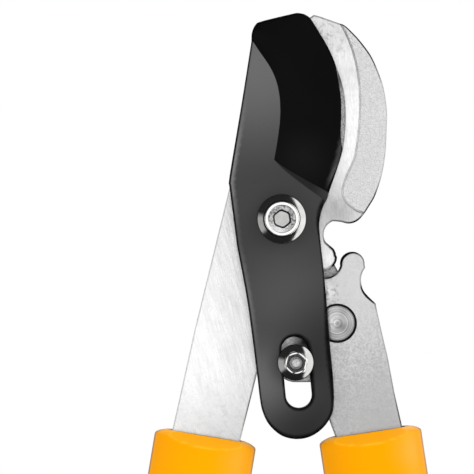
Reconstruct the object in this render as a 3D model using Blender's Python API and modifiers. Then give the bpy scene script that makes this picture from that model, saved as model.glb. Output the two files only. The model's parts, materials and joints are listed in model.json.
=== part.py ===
"""Geared bypass lopper, upright with closed jaws, its front facing -Y.

The hook arm stands still. A link plate on the back turns on the main pivot and carries the gear arm. The gear arm
meshes with the hook's lobe, and its slide bolt drives the slot in the blade's tail.

Dimensions are in millimetres. Points of the head are given from the main pivot, x to the right and z up.
The origin of the finished part is the middle of the left grip, where a hand holds the tool.
"""

import math

import bmesh
import bpy
from mathutils import Vector

MM = 0.001

# Clearances
GAP = 0.3
HOLE_FIT = 0.3
SLOT_FIT = 0.6

# Thickness of the layers
BLADE_THICKNESS = 4.0
ARM_THICKNESS = 5.0
BAR_THICKNESS = 4.5
LINK_THICKNESS = 3.0

# Depth of each layer, from the front to the back, along +Y
BAR_FRONT = -BAR_THICKNESS / 2
BAR_BACK = BAR_THICKNESS / 2
ARM_BACK = BAR_FRONT - GAP
ARM_FRONT = ARM_BACK - ARM_THICKNESS
ARM_MIDDLE = (ARM_FRONT + ARM_BACK) / 2
BLADE_BACK = ARM_FRONT - GAP
BLADE_FRONT = BLADE_BACK - BLADE_THICKNESS
LINK_FRONT = BAR_BACK + GAP
LINK_BACK = LINK_FRONT + LINK_THICKNESS

# Pivots
GEAR_PIVOT = (20.65, -38.63)
SLIDE_BOLT = (5.14, -52.91)
MAIN_BOLT_RADIUS = 4.0
BUSHING_RADIUS = 5.5
GEAR_PIN_RADIUS = 4.0
GEAR_PIN_HEAD_RADIUS = 6.4
GEAR_PIN_RECESS_RADIUS = 7.3
GEAR_PIN_RECESS_DEPTH = 3.3
SLIDE_BOLT_RADIUS = 2.5
TANG_RIVET_RADIUS = 2.0

# Slot in the blade's tail, along the line from the main pivot to the slide bolt
SLOT_HALF_WIDTH = 4.8
SLOT_START = 48.5
SLOT_END = 65.3
SLIDE_ROLLER_RADIUS = SLOT_HALF_WIDTH - SLOT_FIT

# Gear of the hook: radius from the main pivot and angle from +X of each centre
LOBE_CENTRE = (21.3, -41.7)
LOBE_RADIUS = 4.7
LOBE_NECK = 0.35
VALLEY_CENTRE = (21.7, -15.4)
VALLEY_RADIUS = 5.28

# Gear of the right arm: radius from the gear pivot and angle from +X of each centre
SOCKET_CENTRE = (22.8, 100.55)
SOCKET_RADIUS = 5.46
KNOB_CENTRE = (22.7, 75.6)
KNOB_RADIUS = 4.53
LIP_CENTRE = (21.5, 129.6)
LIP_RADIUS = 3.1

# Handles: collar mouth, tilt from upright at the mouth and at the grip
LEFT_MOUTH = (-28.0, -80.7)
RIGHT_MOUTH = (32.7, -78.9)
LEFT_TILT = 9.5
RIGHT_TILT = 8.6
GRIP_TILT = 3.0
HANDLE_LENGTH = 577.0
STRAIGHT_LENGTH = 110.0
BEND_LENGTH = 150.0

# Collar, tube, core, grip and cap; half sizes are across the front and front to back
COLLAR_HALF = (19.1, 12.0)
COLLAR_LENGTH = 58.0
COLLAR_CHAMFER = 30.0
COLLAR_LAND = 5.4
TUBE_HALF = (15.0, 9.0)
TUBE_WALL = 1.6
TUBE_START = 10.0
CORE_END = 60.0
BAR_HALF_WIDTH = 12.8
TONGUE_HALF_WIDTH = 10.8
TONGUE_START = 6.0
TONGUE_END = 56.0
COLLAR_RIVETS = (24.0, 44.0)
COLLAR_RIVET_RADIUS = 2.4
GRIP_LENGTH = 185.0
CAP_THICKNESS = 6.0
GRIP_FLATNESS = 0.7
GRIP_START = HANDLE_LENGTH - CAP_THICKNESS - GAP - GRIP_LENGTH


def polar(centre, radius, angle):
    """The point at a radius and an angle in degrees from a centre."""
    turn = math.radians(angle)
    return (centre[0] + radius * math.cos(turn), centre[1] + radius * math.sin(turn))


def arc(centre, radius, start, end, steps):
    """Points along an arc, from one angle to the other."""
    return [polar(centre, radius, start + (end - start) * k / steps) for k in range(steps + 1)]


def through(points, steps=3):
    """A smooth line through the points, as a Catmull-Rom spline, without its last point."""
    line = [Vector(point) for point in points]
    line = [2 * line[0] - line[1], *line, 2 * line[-1] - line[-2]]
    found = []
    for a, b, c, d in zip(line, line[1:], line[2:], line[3:]):
        for k in range(steps):
            t = k / steps
            point = b + 0.5 * t * (c - a + t * (2 * a - 5 * b + 4 * c - d + t * (3 * (b - c) + d - a)))
            found.append((point.x, point.y))
    return found


def handle_point(mouth, tilt, side, distance, offset=0.0):
    """The point of a handle's centre line at a distance below the collar's mouth, moved outwards by offset."""
    x, z = mouth
    travelled = 0.0
    angle = math.radians(tilt)
    while travelled < distance - 1e-9:
        step = min(5.0, distance - travelled)
        bend = min(max((travelled + step / 2 - STRAIGHT_LENGTH) / BEND_LENGTH, 0.0), 1.0)
        angle = math.radians(tilt + (GRIP_TILT - tilt) * bend)
        x += side * step * math.sin(angle)
        z -= step * math.cos(angle)
        travelled += step
    return (x + side * offset * math.cos(angle), z + offset * math.sin(angle))


LEFT = {"mouth": LEFT_MOUTH, "tilt": LEFT_TILT, "side": -1}
RIGHT = {"mouth": RIGHT_MOUTH, "tilt": RIGHT_TILT, "side": 1}


def along(arm, distance, offset=0.0):
    """handle_point for the left or the right arm."""
    return handle_point(arm["mouth"], arm["tilt"], arm["side"], distance, offset)


# The hand's hold in the middle of the left grip is the origin, so the main pivot stands this far from it.
HOLD = along(LEFT, GRIP_START + GRIP_LENGTH / 2)
PIVOT_X = -HOLD[0]
PIVOT_Z = -HOLD[1]


def world(x, y, z):
    """A point given from the main pivot in millimetres, as a point of the scene in metres."""
    return Vector(((x + PIVOT_X) * MM, y * MM, (z + PIVOT_Z) * MM))


for old in list(bpy.data.objects):
    bpy.data.objects.remove(old)
parts = bpy.data.collections.new("geared_lopper")
cutters = bpy.data.collections.new("cutters")
bpy.context.scene.collection.children.link(parts)
bpy.context.scene.collection.children.link(cutters)


def material(name, colour, metallic, roughness):
    found = bpy.data.materials.new(name)
    found.use_nodes = True
    shader = found.node_tree.nodes["Principled BSDF"]
    shader.inputs["Base Color"].default_value = (*colour, 1.0)
    shader.inputs["Metallic"].default_value = metallic
    shader.inputs["Roughness"].default_value = roughness
    found.diffuse_color = (*colour, 1.0)
    return found


black_coating = material("black_coating", (0.06, 0.06, 0.062), 0.2, 0.42)
ground_steel = material("ground_steel", (0.72, 0.72, 0.71), 1.0, 0.35)
brushed_steel = material("brushed_steel", (0.78, 0.78, 0.78), 1.0, 0.28)
bright_zinc = material("bright_zinc", (0.82, 0.82, 0.8), 1.0, 0.18)
hidden_steel = material("hidden_steel", (0.55, 0.55, 0.55), 1.0, 0.4)
yellow_plastic = material("yellow_plastic", (1.0, 0.42, 0.005), 0.0, 0.35)
dark_plastic = material("dark_plastic", (0.03, 0.03, 0.03), 0.0, 0.5)
dark_lacquer = material("dark_lacquer", (0.025, 0.025, 0.027), 0.0, 0.3)
soft_rubber = material("soft_rubber", (0.02, 0.02, 0.02), 0.0, 0.75)


def empty(name, x, z):
    """An axis along Y, for the pieces that turn about it."""
    found = bpy.data.objects.new(name, None)
    found.location = world(x, 0, z)
    parts.objects.link(found)
    return found


hook_frame = empty("hook_frame", 0, 0)
blade_axis = empty("blade_axis", 0, 0)
link_axis = empty("link_axis", 0, 0)
gear_axis = empty("gear_axis", *GEAR_PIVOT)


def keep(obj, name, look, parent):
    """Names a finished piece, gives it its material and hangs it on its axis, where it stands."""
    obj.name = name
    obj.data.name = name
    obj.data.materials.clear()
    obj.data.materials.append(look)
    for collection in list(obj.users_collection):
        collection.objects.unlink(obj)
    parts.objects.link(obj)
    obj.parent = parent
    obj.location -= parent.location
    return obj


def cutter(obj):
    """Hides a shape that only cuts or joins another."""
    for collection in list(obj.users_collection):
        collection.objects.unlink(obj)
    cutters.objects.link(obj)
    obj.hide_render = True
    obj.display_type = "WIRE"
    return obj


def combine(obj, other, operation="DIFFERENCE"):
    """A Boolean modifier on obj with the other shape."""
    modifier = obj.modifiers.new(operation.lower(), "BOOLEAN")
    modifier.operation = operation
    modifier.solver = "EXACT"
    modifier.object = cutter(other)
    return obj


def bevel(obj, width, segments=2, angle=50.0):
    modifier = obj.modifiers.new("bevel", "BEVEL")
    modifier.width = width * MM
    modifier.segments = segments
    modifier.limit_method = "ANGLE"
    modifier.angle_limit = math.radians(angle)
    return obj


def round_shading(obj):
    obj.data.shade_smooth()
    obj.data.set_sharp_from_angle(angle=math.radians(35))
    return obj


def as_mesh(source):
    """Replaces a curve, or an object with modifiers, by the mesh that it shows, with its loose caps welded."""
    bpy.context.view_layer.update()
    shown = source.evaluated_get(bpy.context.evaluated_depsgraph_get())
    mesh = bpy.data.meshes.new_from_object(shown)
    work = bmesh.new()
    work.from_mesh(mesh)
    bmesh.ops.remove_doubles(work, verts=work.verts, dist=0.00001)
    bmesh.ops.dissolve_limit(work, angle_limit=math.radians(0.5), verts=work.verts, edges=work.edges)
    bmesh.ops.recalc_face_normals(work, faces=work.faces)
    work.to_mesh(mesh)
    work.free()
    found = bpy.data.objects.new(source.name, mesh)
    found.matrix_world = source.matrix_world
    bpy.context.scene.collection.objects.link(found)
    bpy.data.objects.remove(source)
    return found


def plate(outline, front, thickness, holes=()):
    """A flat plate that faces -Y, from its outline and its holes as lists of points."""
    curve = bpy.data.curves.new("outline", "CURVE")
    curve.dimensions = "2D"
    curve.fill_mode = "BOTH"
    curve.extrude = thickness / 2 * MM
    for loop in (outline, *holes):
        spline = curve.splines.new("POLY")
        spline.points.add(len(loop) - 1)
        for point, (x, z) in zip(spline.points, loop):
            point.co = (x * MM, z * MM, 0.0, 1.0)
        spline.use_cyclic_u = True
    source = bpy.data.objects.new("outline", curve)
    source.location = world(0, front + thickness / 2, 0)
    source.rotation_euler = (math.pi / 2, 0, 0)
    bpy.context.scene.collection.objects.link(source)
    return as_mesh(source)


def hole(x, z, radius, steps=28):
    return arc((x, z), radius, 0, 360 - 360 / steps, steps - 1)


def disc(x, z, radius, front, back, sides=32):
    """A cylinder along Y."""
    bpy.ops.mesh.primitive_cylinder_add(
        vertices=sides,
        radius=radius * MM,
        depth=(back - front) * MM,
        location=world(x, (front + back) / 2, z),
        rotation=(math.pi / 2, 0, 0),
    )
    return bpy.context.object


def box(centre, size, turn=(0, 0, 0)):
    """A box by its centre from the main pivot, its size and its turn in degrees."""
    bpy.ops.mesh.primitive_cube_add(size=1, location=world(*centre), rotation=[math.radians(a) for a in turn])
    found = bpy.context.object
    for vertex in found.data.vertices:
        vertex.co = Vector(vertex.co[k] * size[k] * MM for k in range(3))
    return found


def turned(profile, place, turn, steps=32, closed=False, flatness=1.0):
    """A turned shape from its profile of radius and height, outer side from top to bottom.

    closed makes a ring from a profile that never meets the axis.
    """
    mesh = bpy.data.meshes.new("profile")
    count = len(profile)
    edges = [(k, k + 1) for k in range(count - 1)]
    if closed:
        edges.append((count - 1, 0))
    mesh.from_pydata([(r * MM, 0, h * MM) for r, h in profile], edges, [])
    source = bpy.data.objects.new("profile", mesh)
    source.location = place
    source.rotation_euler = [math.radians(a) for a in turn]
    bpy.context.scene.collection.objects.link(source)
    screw = source.modifiers.new("screw", "SCREW")
    screw.steps = steps
    screw.render_steps = steps
    screw.use_merge_vertices = True
    screw.merge_threshold = 0.00005
    found = as_mesh(source)
    for vertex in found.data.vertices:
        vertex.co.y *= flatness
    return round_shading(found)


def bolt_like(profile, x, z, steps=32, closed=False):
    """A turned piece along Y, whose profile heights count towards the front."""
    return turned(profile, world(x, 0, z), (90, 0, 0), steps, closed)


def ring(x, z, inner, outer, front, back, rim=0.0, steps=28):
    """A washer or sleeve along Y, with a small rim in front."""
    profile = [(inner, -front), (outer, -front), (outer, -back), (inner, -back)]
    if rim:
        profile[1:2] = [(outer - rim, -front), (outer, -front - rim)]
    return bolt_like(profile, x, z, steps, closed=True)


# Cutting blade: outline, slot and ground face
blade_front_edge = through(
    [(8.3, 75.9), (10.5, 74.2), (13.5, 69.2), (17.4, 62.4), (20.6, 54.8), (22.8, 48.1), (23.7, 41.5)]
) + through([(23.7, 41.5), (23.7, 34.0), (22.9, 27.0), (21.6, 21.8), (19.8, 16.3), (17.5, 9.6), (15.7, 6.7)])
blade_tail = (
    through([(15.7, 6.7), (14.2, 2.2), (13.7, -1.9), (14.2, -7.8), (15.7, -20.7), (16.8, -33.3)])
    + through([(16.8, -33.3), (17.6, -46.0), (19.0, -58.8), (19.3, -67.3), (18.6, -72.0)])
    + through([(18.6, -72.0), (15.6, -76.9), (10.9, -80.2), (5.2, -81.3), (-0.2, -79.8), (-4.8, -75.7)])
    + through([(-4.8, -75.7), (-7.1, -71.0), (-8.1, -66.0), (-9.3, -55.9), (-12.6, -31.1), (-16.5, -10.0)], 2)
    + [(-16.5, -10.0)]
)
blade_back_edge = (
    through([(-19.4, 12.3), (-19.5, 14.0), (-18.3, 21.8), (-14.7, 43.3), (-11.2, 65.5)], 2)
    + through([(-11.2, 65.5), (-11.0, 68.8), (-9.6, 71.9), (-7.0, 73.2), (3.8, 75.9), (6.1, 76.3), (8.3, 75.9)], 2)
)
blade_outline = blade_front_edge + blade_tail + blade_back_edge

slot_angle = math.degrees(math.atan2(SLIDE_BOLT[1], SLIDE_BOLT[0]))
slot_top = polar((0, 0), SLOT_START, slot_angle)
slot_bottom = polar((0, 0), SLOT_END, slot_angle)
slot_outline = arc(slot_top, SLOT_HALF_WIDTH, slot_angle + 270, slot_angle + 90, 12) + arc(
    slot_bottom, SLOT_HALF_WIDTH, slot_angle + 90, slot_angle - 90, 12
)
blade = plate(blade_outline, BLADE_FRONT, BLADE_THICKNESS, [hole(0, 0, BUSHING_RADIUS + HOLE_FIT), slot_outline])
bevel(blade, 0.8, 1)

# Each ruling of the ground face: where it leaves the flat face, where it meets the edge, and how deep it is there
GROUND_RULINGS = [
    ((-11.2, 65.2), (-11.9, 68.0), 0.4),
    ((-8.5, 62.2), (-8.6, 73.5), 1.2),
    ((-6.2, 58.9), (-1.8, 75.4), 1.8),
    ((-4.3, 56.0), (4.5, 77.0), 2.3),
    ((-3.0, 53.4), (10.2, 75.4), 2.8),
    ((-2.0, 50.8), (14.0, 69.0), 3.2),
    ((-1.2, 48.0), (18.0, 61.5), 3.4),
    ((-0.8, 45.1), (21.0, 54.2), 3.45),
    ((-0.5, 41.0), (23.0, 48.0), 3.5),
    ((-0.6, 37.0), (24.0, 41.0), 3.5),
    ((-0.9, 33.5), (24.0, 34.0), 3.5),
    ((-1.5, 29.0), (23.3, 27.5), 3.5),
    ((-2.1, 25.0), (22.3, 23.0), 3.45),
    ((-2.8, 21.8), (21.2, 19.5), 3.4),
    ((0.9, 18.1), (20.4, 17.0), 3.3),
    ((7.9, 12.6), (18.9, 12.8), 2.9),
    ((13.3, 8.7), (17.2, 8.8), 1.9),
    ((15.9, 6.4), (16.6, 6.6), 0.8),
]


def ground_cutter():
    """A loft over the ground face: its floor runs from the flat face down to the edge and on past it."""
    before, beyond = -0.05, 1.3
    mesh = bpy.data.meshes.new("ground_face")
    work = bmesh.new()
    rows = []
    for (x0, z0), (x1, z1), depth in GROUND_RULINGS:
        row = []
        for t in (before, beyond):
            x = x0 + (x1 - x0) * t
            z = z0 + (z1 - z0) * t
            row.append(work.verts.new(Vector((x, BLADE_FRONT + depth * t, z)) * MM))
            row.append(work.verts.new(Vector((x, BLADE_FRONT - 6, z)) * MM))
        rows.append((row[0], row[2], row[3], row[1]))
    for near, far in zip(rows, rows[1:]):
        for k in range(4):
            work.faces.new((near[k], near[k - 1], far[k - 1], far[k]))
    work.faces.new(rows[0])
    work.faces.new(rows[-1][::-1])
    bmesh.ops.triangulate(work, faces=work.faces)
    bmesh.ops.recalc_face_normals(work, faces=work.faces)
    work.to_mesh(mesh)
    work.free()
    found = bpy.data.objects.new("ground_face", mesh)
    found.location = world(0, 0, 0)
    bpy.context.scene.collection.objects.link(found)
    return found


combine(blade, ground_cutter())
keep(blade, "cutting_blade", black_coating, blade_axis)

# Hook blade: hook, boss, gear and tang
lobe = polar((0, 0), *LOBE_CENTRE)
lobe_neck = (lobe[0] - LOBE_NECK, lobe[1] + LOBE_NECK)
valley = polar((0, 0), *VALLEY_CENTRE)
hook_outline = (
    through([(11.2, 75.2), (12.9, 75.5), (21.4, 72.5)], 2)
    + through([(21.4, 72.5), (23.3, 71.9), (26.0, 69.5), (29.3, 65.9), (33.1, 60.7), (35.7, 54.8), (37.7, 48.5)], 2)
    + through([(37.7, 48.5), (39.0, 40.3), (39.0, 33.0), (38.4, 24.0), (37.0, 15.8), (34.7, 8.6), (32.6, 4.9)], 2)
    + through([(32.6, 4.9), (30.4, 1.6), (28.0, -0.8), (25.1, -1.7), (22.0, -1.0), (19.2, -0.8)], 2)
    + arc(valley, VALLEY_RADIUS, 112, 212, 12)
    + arc(lobe_neck, LOBE_RADIUS, 38, 6, 4)
    + arc(lobe, LOBE_RADIUS, 0, -175, 18)
    + through([(10.9, -15.2), (9.6, -14.2), (7.5, -13.8), (4.5, -14.2), (1.8, -15.6), (-0.5, -19.5), (-0.9, -28.0)], 2)
    + through([(-0.9, -28.0), (-1.3, -35.0), (-3.2, -42.5), (-6.0, -45.3), (-9.2, -43.8), (-11.0, -37.0)], 3)
    + through([(-11.0, -37.0), (-12.0, -31.5), (-14.0, -17.0), (-15.4, -5.0), (-14.8, 4.0), (-11.5, 10.5)], 2)
    + through([(-11.5, 10.5), (-6.0, 13.4), (1.3, 13.3), (6.6, 14.6), (11.2, 18.1), (14.6, 24.6), (16.3, 32.9)], 3)
    + through([(16.3, 32.9), (16.6, 42.2), (15.8, 50.7), (14.1, 58.8), (11.9, 66.2), (9.2, 73.2), (11.2, 75.2)], 3)
)
TANG_RIVETS = ((-7.4, -22.5), (-6.9, -36.0))
rivet_holes = [hole(x, z, TANG_RIVET_RADIUS + HOLE_FIT, 20) for x, z in TANG_RIVETS]
hook = plate(hook_outline, ARM_FRONT, ARM_THICKNESS, [hole(0, 0, BUSHING_RADIUS + HOLE_FIT), *rivet_holes])

# The outer crescent lies a little deeper than the ground face beside the blade
CRESCENT_DEPTH = 0.4
crescent_line = through(
    [(21.4, 72.5), (23.2, 69.6), (25.8, 63.4), (27.7, 56.2), (28.7, 48.5), (28.9, 41.0), (28.4, 33.0)], 3
) + through([(28.4, 33.0), (26.9, 23.0), (23.7, 15.5), (22.4, 10.6), (23.1, 7.3), (25.0, 4.9), (27.3, 3.2)], 3)
crescent = plate(crescent_line + [(29.7, 2.2), (45, 2), (45, 80), (21.4, 80)], ARM_FRONT - 3, 3 + CRESCENT_DEPTH)
combine(hook, crescent)


keep(hook, "hook_blade", ground_steel, hook_frame)

# Left arm bar, behind the hook's tang
left_bar_outline = (
    [along(LEFT, TONGUE_END, TONGUE_HALF_WIDTH)]
    + [along(LEFT, TONGUE_START, TONGUE_HALF_WIDTH), along(LEFT, TONGUE_START - 1.5, BAR_HALF_WIDTH)]
    + [along(LEFT, 0, BAR_HALF_WIDTH), (-32.3, -41.1), (-19.5, 11.1)]
    + through([(-18.5, 15.2), (-15.6, 18.2), (-9.0, 18.6), (-3.0, 15.5)], 3)
    + arc((0, 0), 13.0, 80, -40, 14)
    + through([(5.6, -14.5), (1.6, -24.0), (-1.8, -36.0), (-5.6, -48.0), (-9.1, -58.1)], 2)
    + [(-9.1, -58.1)]
    + [along(LEFT, 0, -BAR_HALF_WIDTH), along(LEFT, TONGUE_START - 1.5, -BAR_HALF_WIDTH)]
    + [along(LEFT, TONGUE_START, -TONGUE_HALF_WIDTH), along(LEFT, TONGUE_END, -TONGUE_HALF_WIDTH)]
)


def along_holes(arm):
    found = []
    for distance in COLLAR_RIVETS:
        found.append(hole(*along(arm, distance), COLLAR_RIVET_RADIUS + HOLE_FIT, 16))
    return found


left_bar = plate(
    left_bar_outline,
    BAR_FRONT,
    BAR_THICKNESS,
    [hole(0, 0, BUSHING_RADIUS + HOLE_FIT), *rivet_holes, *along_holes(LEFT)],
)
keep(left_bar, "left_arm_bar", brushed_steel, hook_frame)

for label, (x, z) in zip(("upper", "lower"), TANG_RIVETS):
    head = TANG_RIVET_RADIUS + 1.5
    profile = [
        (0, -ARM_FRONT - 0.1),
        (TANG_RIVET_RADIUS, -ARM_FRONT - 0.1),
        (TANG_RIVET_RADIUS, -BAR_BACK - GAP),
        (head, -BAR_BACK - GAP),
        (head, -BAR_BACK - GAP - 0.5),
        (head * 0.75, -BAR_BACK - GAP - 1.3),
        (head * 0.3, -BAR_BACK - GAP - 1.7),
        (0, -BAR_BACK - GAP - 1.75),
    ]
    keep(bolt_like(profile, x, z, 20), "tang_rivet_" + label, hidden_steel, hook_frame)

# Main pivot: bolt, washers, bushing and nut
WASHER_THICKNESS = 1.8
WASHER_RADIUS = 9.1
BOLT_HEAD_RADIUS = 6.5
BOLT_HEAD_HEIGHT = 5.0
HEX_SOCKET_RADIUS = 3.3
washer_back = BLADE_FRONT - GAP
washer_front = washer_back - WASHER_THICKNESS
head_back = washer_front - GAP
head_front = head_back - BOLT_HEAD_HEIGHT
back_washer_front = LINK_BACK + GAP
back_washer_back = back_washer_front + 1.6
nut_front = back_washer_back + GAP
nut_back = nut_front + 6.5
profile = [
    (0, -head_front),
    (BOLT_HEAD_RADIUS - 0.9, -head_front),
    (BOLT_HEAD_RADIUS - 0.3, -head_front - 0.3),
    (BOLT_HEAD_RADIUS, -head_front - 0.9),
    (BOLT_HEAD_RADIUS, -head_back),
    (MAIN_BOLT_RADIUS, -head_back),
    (MAIN_BOLT_RADIUS, -nut_back - 0.9),
    (MAIN_BOLT_RADIUS - 0.8, -nut_back - 1.7),
    (0, -nut_back - 1.7),
]
main_bolt = bolt_like(profile, 0, 0, 40)
combine(main_bolt, disc(0, 0, HEX_SOCKET_RADIUS, head_front - 1, head_front + 3, 6))
keep(main_bolt, "main_pivot_bolt", bright_zinc, hook_frame)
washer_hole = MAIN_BOLT_RADIUS + HOLE_FIT
washer = ring(0, 0, washer_hole, WASHER_RADIUS, washer_front, washer_back, 0.4, 40)
keep(washer, "main_pivot_washer", bright_zinc, hook_frame)
bushing = ring(0, 0, washer_hole, BUSHING_RADIUS, BLADE_FRONT, LINK_BACK)
keep(bushing, "main_pivot_bushing", hidden_steel, hook_frame)
back_washer = ring(0, 0, washer_hole, 8.0, back_washer_front, back_washer_back)
keep(back_washer, "main_pivot_back_washer", bright_zinc, hook_frame)


def nut(x, z, bore, across_flats, front, back):
    """A hexagon nut along Y with chamfered corners on both faces."""
    corner = across_flats / math.sqrt(3)
    chamfer = corner - across_flats / 2 * 0.98
    found = disc(x, z, corner, front, back, 6)
    profile = [
        (corner - chamfer, -front),
        (corner + 0.4, -front - (chamfer + 0.4) * 0.5),
        (corner + 0.4, -back + (chamfer + 0.4) * 0.5),
        (corner - chamfer, -back),
        (0, -back),
    ]
    barrel = bolt_like([(0, -front), *profile], x, z, 24)
    combine(found, barrel, "INTERSECT")
    return combine(found, disc(x, z, bore, front - 1, back + 1, 20))


keep(nut(0, 0, washer_hole, 13.0, nut_front, nut_back), "main_pivot_nut", bright_zinc, hook_frame)

# Link plate on the back, between the main pivot and the gear pivot
LINK_HALF_WIDTH = 9.5
BOSS_CLEARANCE = 13.7
link_angle = math.degrees(math.atan2(GEAR_PIVOT[1], GEAR_PIVOT[0]))
link_outline = arc((0, 0), LINK_HALF_WIDTH, link_angle + 90, link_angle + 270, 20) + arc(
    GEAR_PIVOT, LINK_HALF_WIDTH, link_angle - 90, link_angle + 90, 20
)
link = plate(
    link_outline,
    LINK_FRONT,
    LINK_THICKNESS,
    [hole(0, 0, BUSHING_RADIUS + HOLE_FIT), hole(*GEAR_PIVOT, GEAR_PIN_RADIUS + HOLE_FIT)],
)
keep(link, "link_plate", hidden_steel, link_axis)

pin_head_front = ARM_FRONT + 0.9
pin_end = LINK_BACK + GAP + 2.6
profile = [
    (0, -pin_head_front),
    (GEAR_PIN_HEAD_RADIUS - 0.4, -pin_head_front),
    (GEAR_PIN_HEAD_RADIUS, -pin_head_front - 0.4),
    (GEAR_PIN_HEAD_RADIUS, -ARM_FRONT - GEAR_PIN_RECESS_DEPTH + GAP),
    (GEAR_PIN_RADIUS, -ARM_FRONT - GEAR_PIN_RECESS_DEPTH + GAP),
    (GEAR_PIN_RADIUS, -pin_end + 0.6),
    (GEAR_PIN_RADIUS - 0.6, -pin_end),
    (0, -pin_end),
]
keep(bolt_like(profile, *GEAR_PIVOT, 36), "gear_pivot_pin", ground_steel, link_axis)
pin_hole = GEAR_PIN_RADIUS + HOLE_FIT


def beside_link(distance, offset):
    """A point at a distance from the main pivot towards the gear pivot, moved to the right by offset."""
    return polar(polar((0, 0), distance, link_angle), offset, link_angle + 90)


# The spacer fills the depth of the left bar beside the main pivot's boss, and shows between the gears.
reach = math.sqrt(BOSS_CLEARANCE**2 - LINK_HALF_WIDTH**2)
spacer_outline = (
    [beside_link(reach, LINK_HALF_WIDTH)]
    + arc((0, 0), BOSS_CLEARANCE, link_angle + 42, link_angle + 23, 4)
    + [beside_link(16.0, -1.6), beside_link(22.5, -LINK_HALF_WIDTH)]
    + arc(GEAR_PIVOT, LINK_HALF_WIDTH, link_angle - 90, link_angle + 90, 20)
)
spacer = plate(spacer_outline, BAR_FRONT, BAR_THICKNESS, [hole(*GEAR_PIVOT, pin_hole)])
keep(spacer, "gear_pivot_spacer", hidden_steel, link_axis)
pin_ring = ring(*GEAR_PIVOT, pin_hole, 6.6, LINK_BACK + GAP, LINK_BACK + GAP + 1.4)
keep(pin_ring, "gear_pivot_ring", bright_zinc, link_axis)

# Gear arm: knob, socket, lip, heel and bar
socket = polar(GEAR_PIVOT, *SOCKET_CENTRE)
knob = polar(GEAR_PIVOT, *KNOB_CENTRE)
lip = polar(GEAR_PIVOT, *LIP_CENTRE)
HEEL_RADIUS = 7.6
gear_outline = (
    arc(socket, SOCKET_RADIUS, -172, -6, 18)
    + arc(knob, KNOB_RADIUS, 186, -5, 20)
    + through([(31.0, -18.1), (30.1, -19.6), (29.5, -21.8), (29.6, -24.1), (30.3, -26.3), (31.9, -28.4)], 2)
    + through([(31.9, -28.4), (34.9, -31.3)], 1)
    + through([(34.9, -31.3), (35.6, -34.8), (37.5, -43.3), (39.4, -51.2), (41.8, -64.0)], 1)
    + [along(RIGHT, 0, BAR_HALF_WIDTH - 0.6), along(RIGHT, TONGUE_START - 1.5, BAR_HALF_WIDTH - 0.6)]
    + [along(RIGHT, TONGUE_START, TONGUE_HALF_WIDTH), along(RIGHT, TONGUE_END, TONGUE_HALF_WIDTH)]
    + [along(RIGHT, TONGUE_END, -TONGUE_HALF_WIDTH), along(RIGHT, TONGUE_START, -TONGUE_HALF_WIDTH)]
    + [along(RIGHT, TONGUE_START - 1.5, -BAR_HALF_WIDTH), along(RIGHT, 0, -BAR_HALF_WIDTH)]
    + [(17.6, -74.4), (14.2, -62.0), (12.6, -60.5)]
    + arc(SLIDE_BOLT, HEEL_RADIUS, -90, -205, 12)
    + [(1.3, -31.8), (3.1, -25.3)]
    + arc(lip, LIP_RADIUS, 180, 48, 10)
)
gear_arm = plate(
    gear_outline,
    ARM_FRONT,
    ARM_THICKNESS,
    [
        hole(*GEAR_PIVOT, GEAR_PIN_RADIUS + HOLE_FIT),
        hole(*SLIDE_BOLT, SLIDE_BOLT_RADIUS + HOLE_FIT, 24),
        *along_holes(RIGHT),
    ],
)
combine(gear_arm, disc(*GEAR_PIVOT, GEAR_PIN_RECESS_RADIUS, ARM_FRONT - 1, ARM_FRONT + GEAR_PIN_RECESS_DEPTH, 40))
keep(gear_arm, "gear_arm", ground_steel, gear_axis)

# Slide bolt through the heel, with its roller in the blade's slot
SLIDE_HEAD_RADIUS = 4.4
roller_back = ARM_FRONT - GAP
roller_front = BLADE_FRONT - 0.05
slide_washer_back = BLADE_FRONT - GAP - 0.05
slide_washer_front = slide_washer_back - 1.9
slide_nut_back = slide_washer_front - GAP
slide_nut_front = slide_nut_back - 4.0
slide_head_front = ARM_BACK + GAP
profile = [
    (0, -slide_nut_front + 1.2),
    (SLIDE_BOLT_RADIUS - 0.8, -slide_nut_front + 1.2),
    (SLIDE_BOLT_RADIUS, -slide_nut_front + 0.4),
    (SLIDE_BOLT_RADIUS, -slide_head_front),
    (SLIDE_HEAD_RADIUS, -slide_head_front),
    (SLIDE_HEAD_RADIUS, -slide_head_front - 1.2),
    (SLIDE_HEAD_RADIUS * 0.8, -slide_head_front - 2.2),
    (SLIDE_HEAD_RADIUS * 0.35, -slide_head_front - 2.7),
    (0, -slide_head_front - 2.8),
]
keep(bolt_like(profile, *SLIDE_BOLT, 28), "slide_bolt", bright_zinc, gear_axis)
slide_hole = SLIDE_BOLT_RADIUS + HOLE_FIT
roller = ring(*SLIDE_BOLT, slide_hole, SLIDE_ROLLER_RADIUS, roller_front, roller_back)
keep(roller, "slide_roller", hidden_steel, gear_axis)
SLIDE_WASHER_RADIUS = 6.7
profile = [
    (slide_hole, -slide_washer_front),
    (4.0, -slide_washer_front),
    (5.6, -slide_washer_front - 0.7),
    (SLIDE_WASHER_RADIUS, -slide_washer_front - 1.3),
    (SLIDE_WASHER_RADIUS, -slide_washer_back),
    (slide_hole, -slide_washer_back),
]
keep(bolt_like(profile, *SLIDE_BOLT, 40, closed=True), "slide_washer", bright_zinc, gear_axis)
slide_nut = nut(*SLIDE_BOLT, slide_hole, 8.0, slide_nut_front, slide_nut_back)
keep(slide_nut, "slide_nut", bright_zinc, gear_axis)


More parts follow.
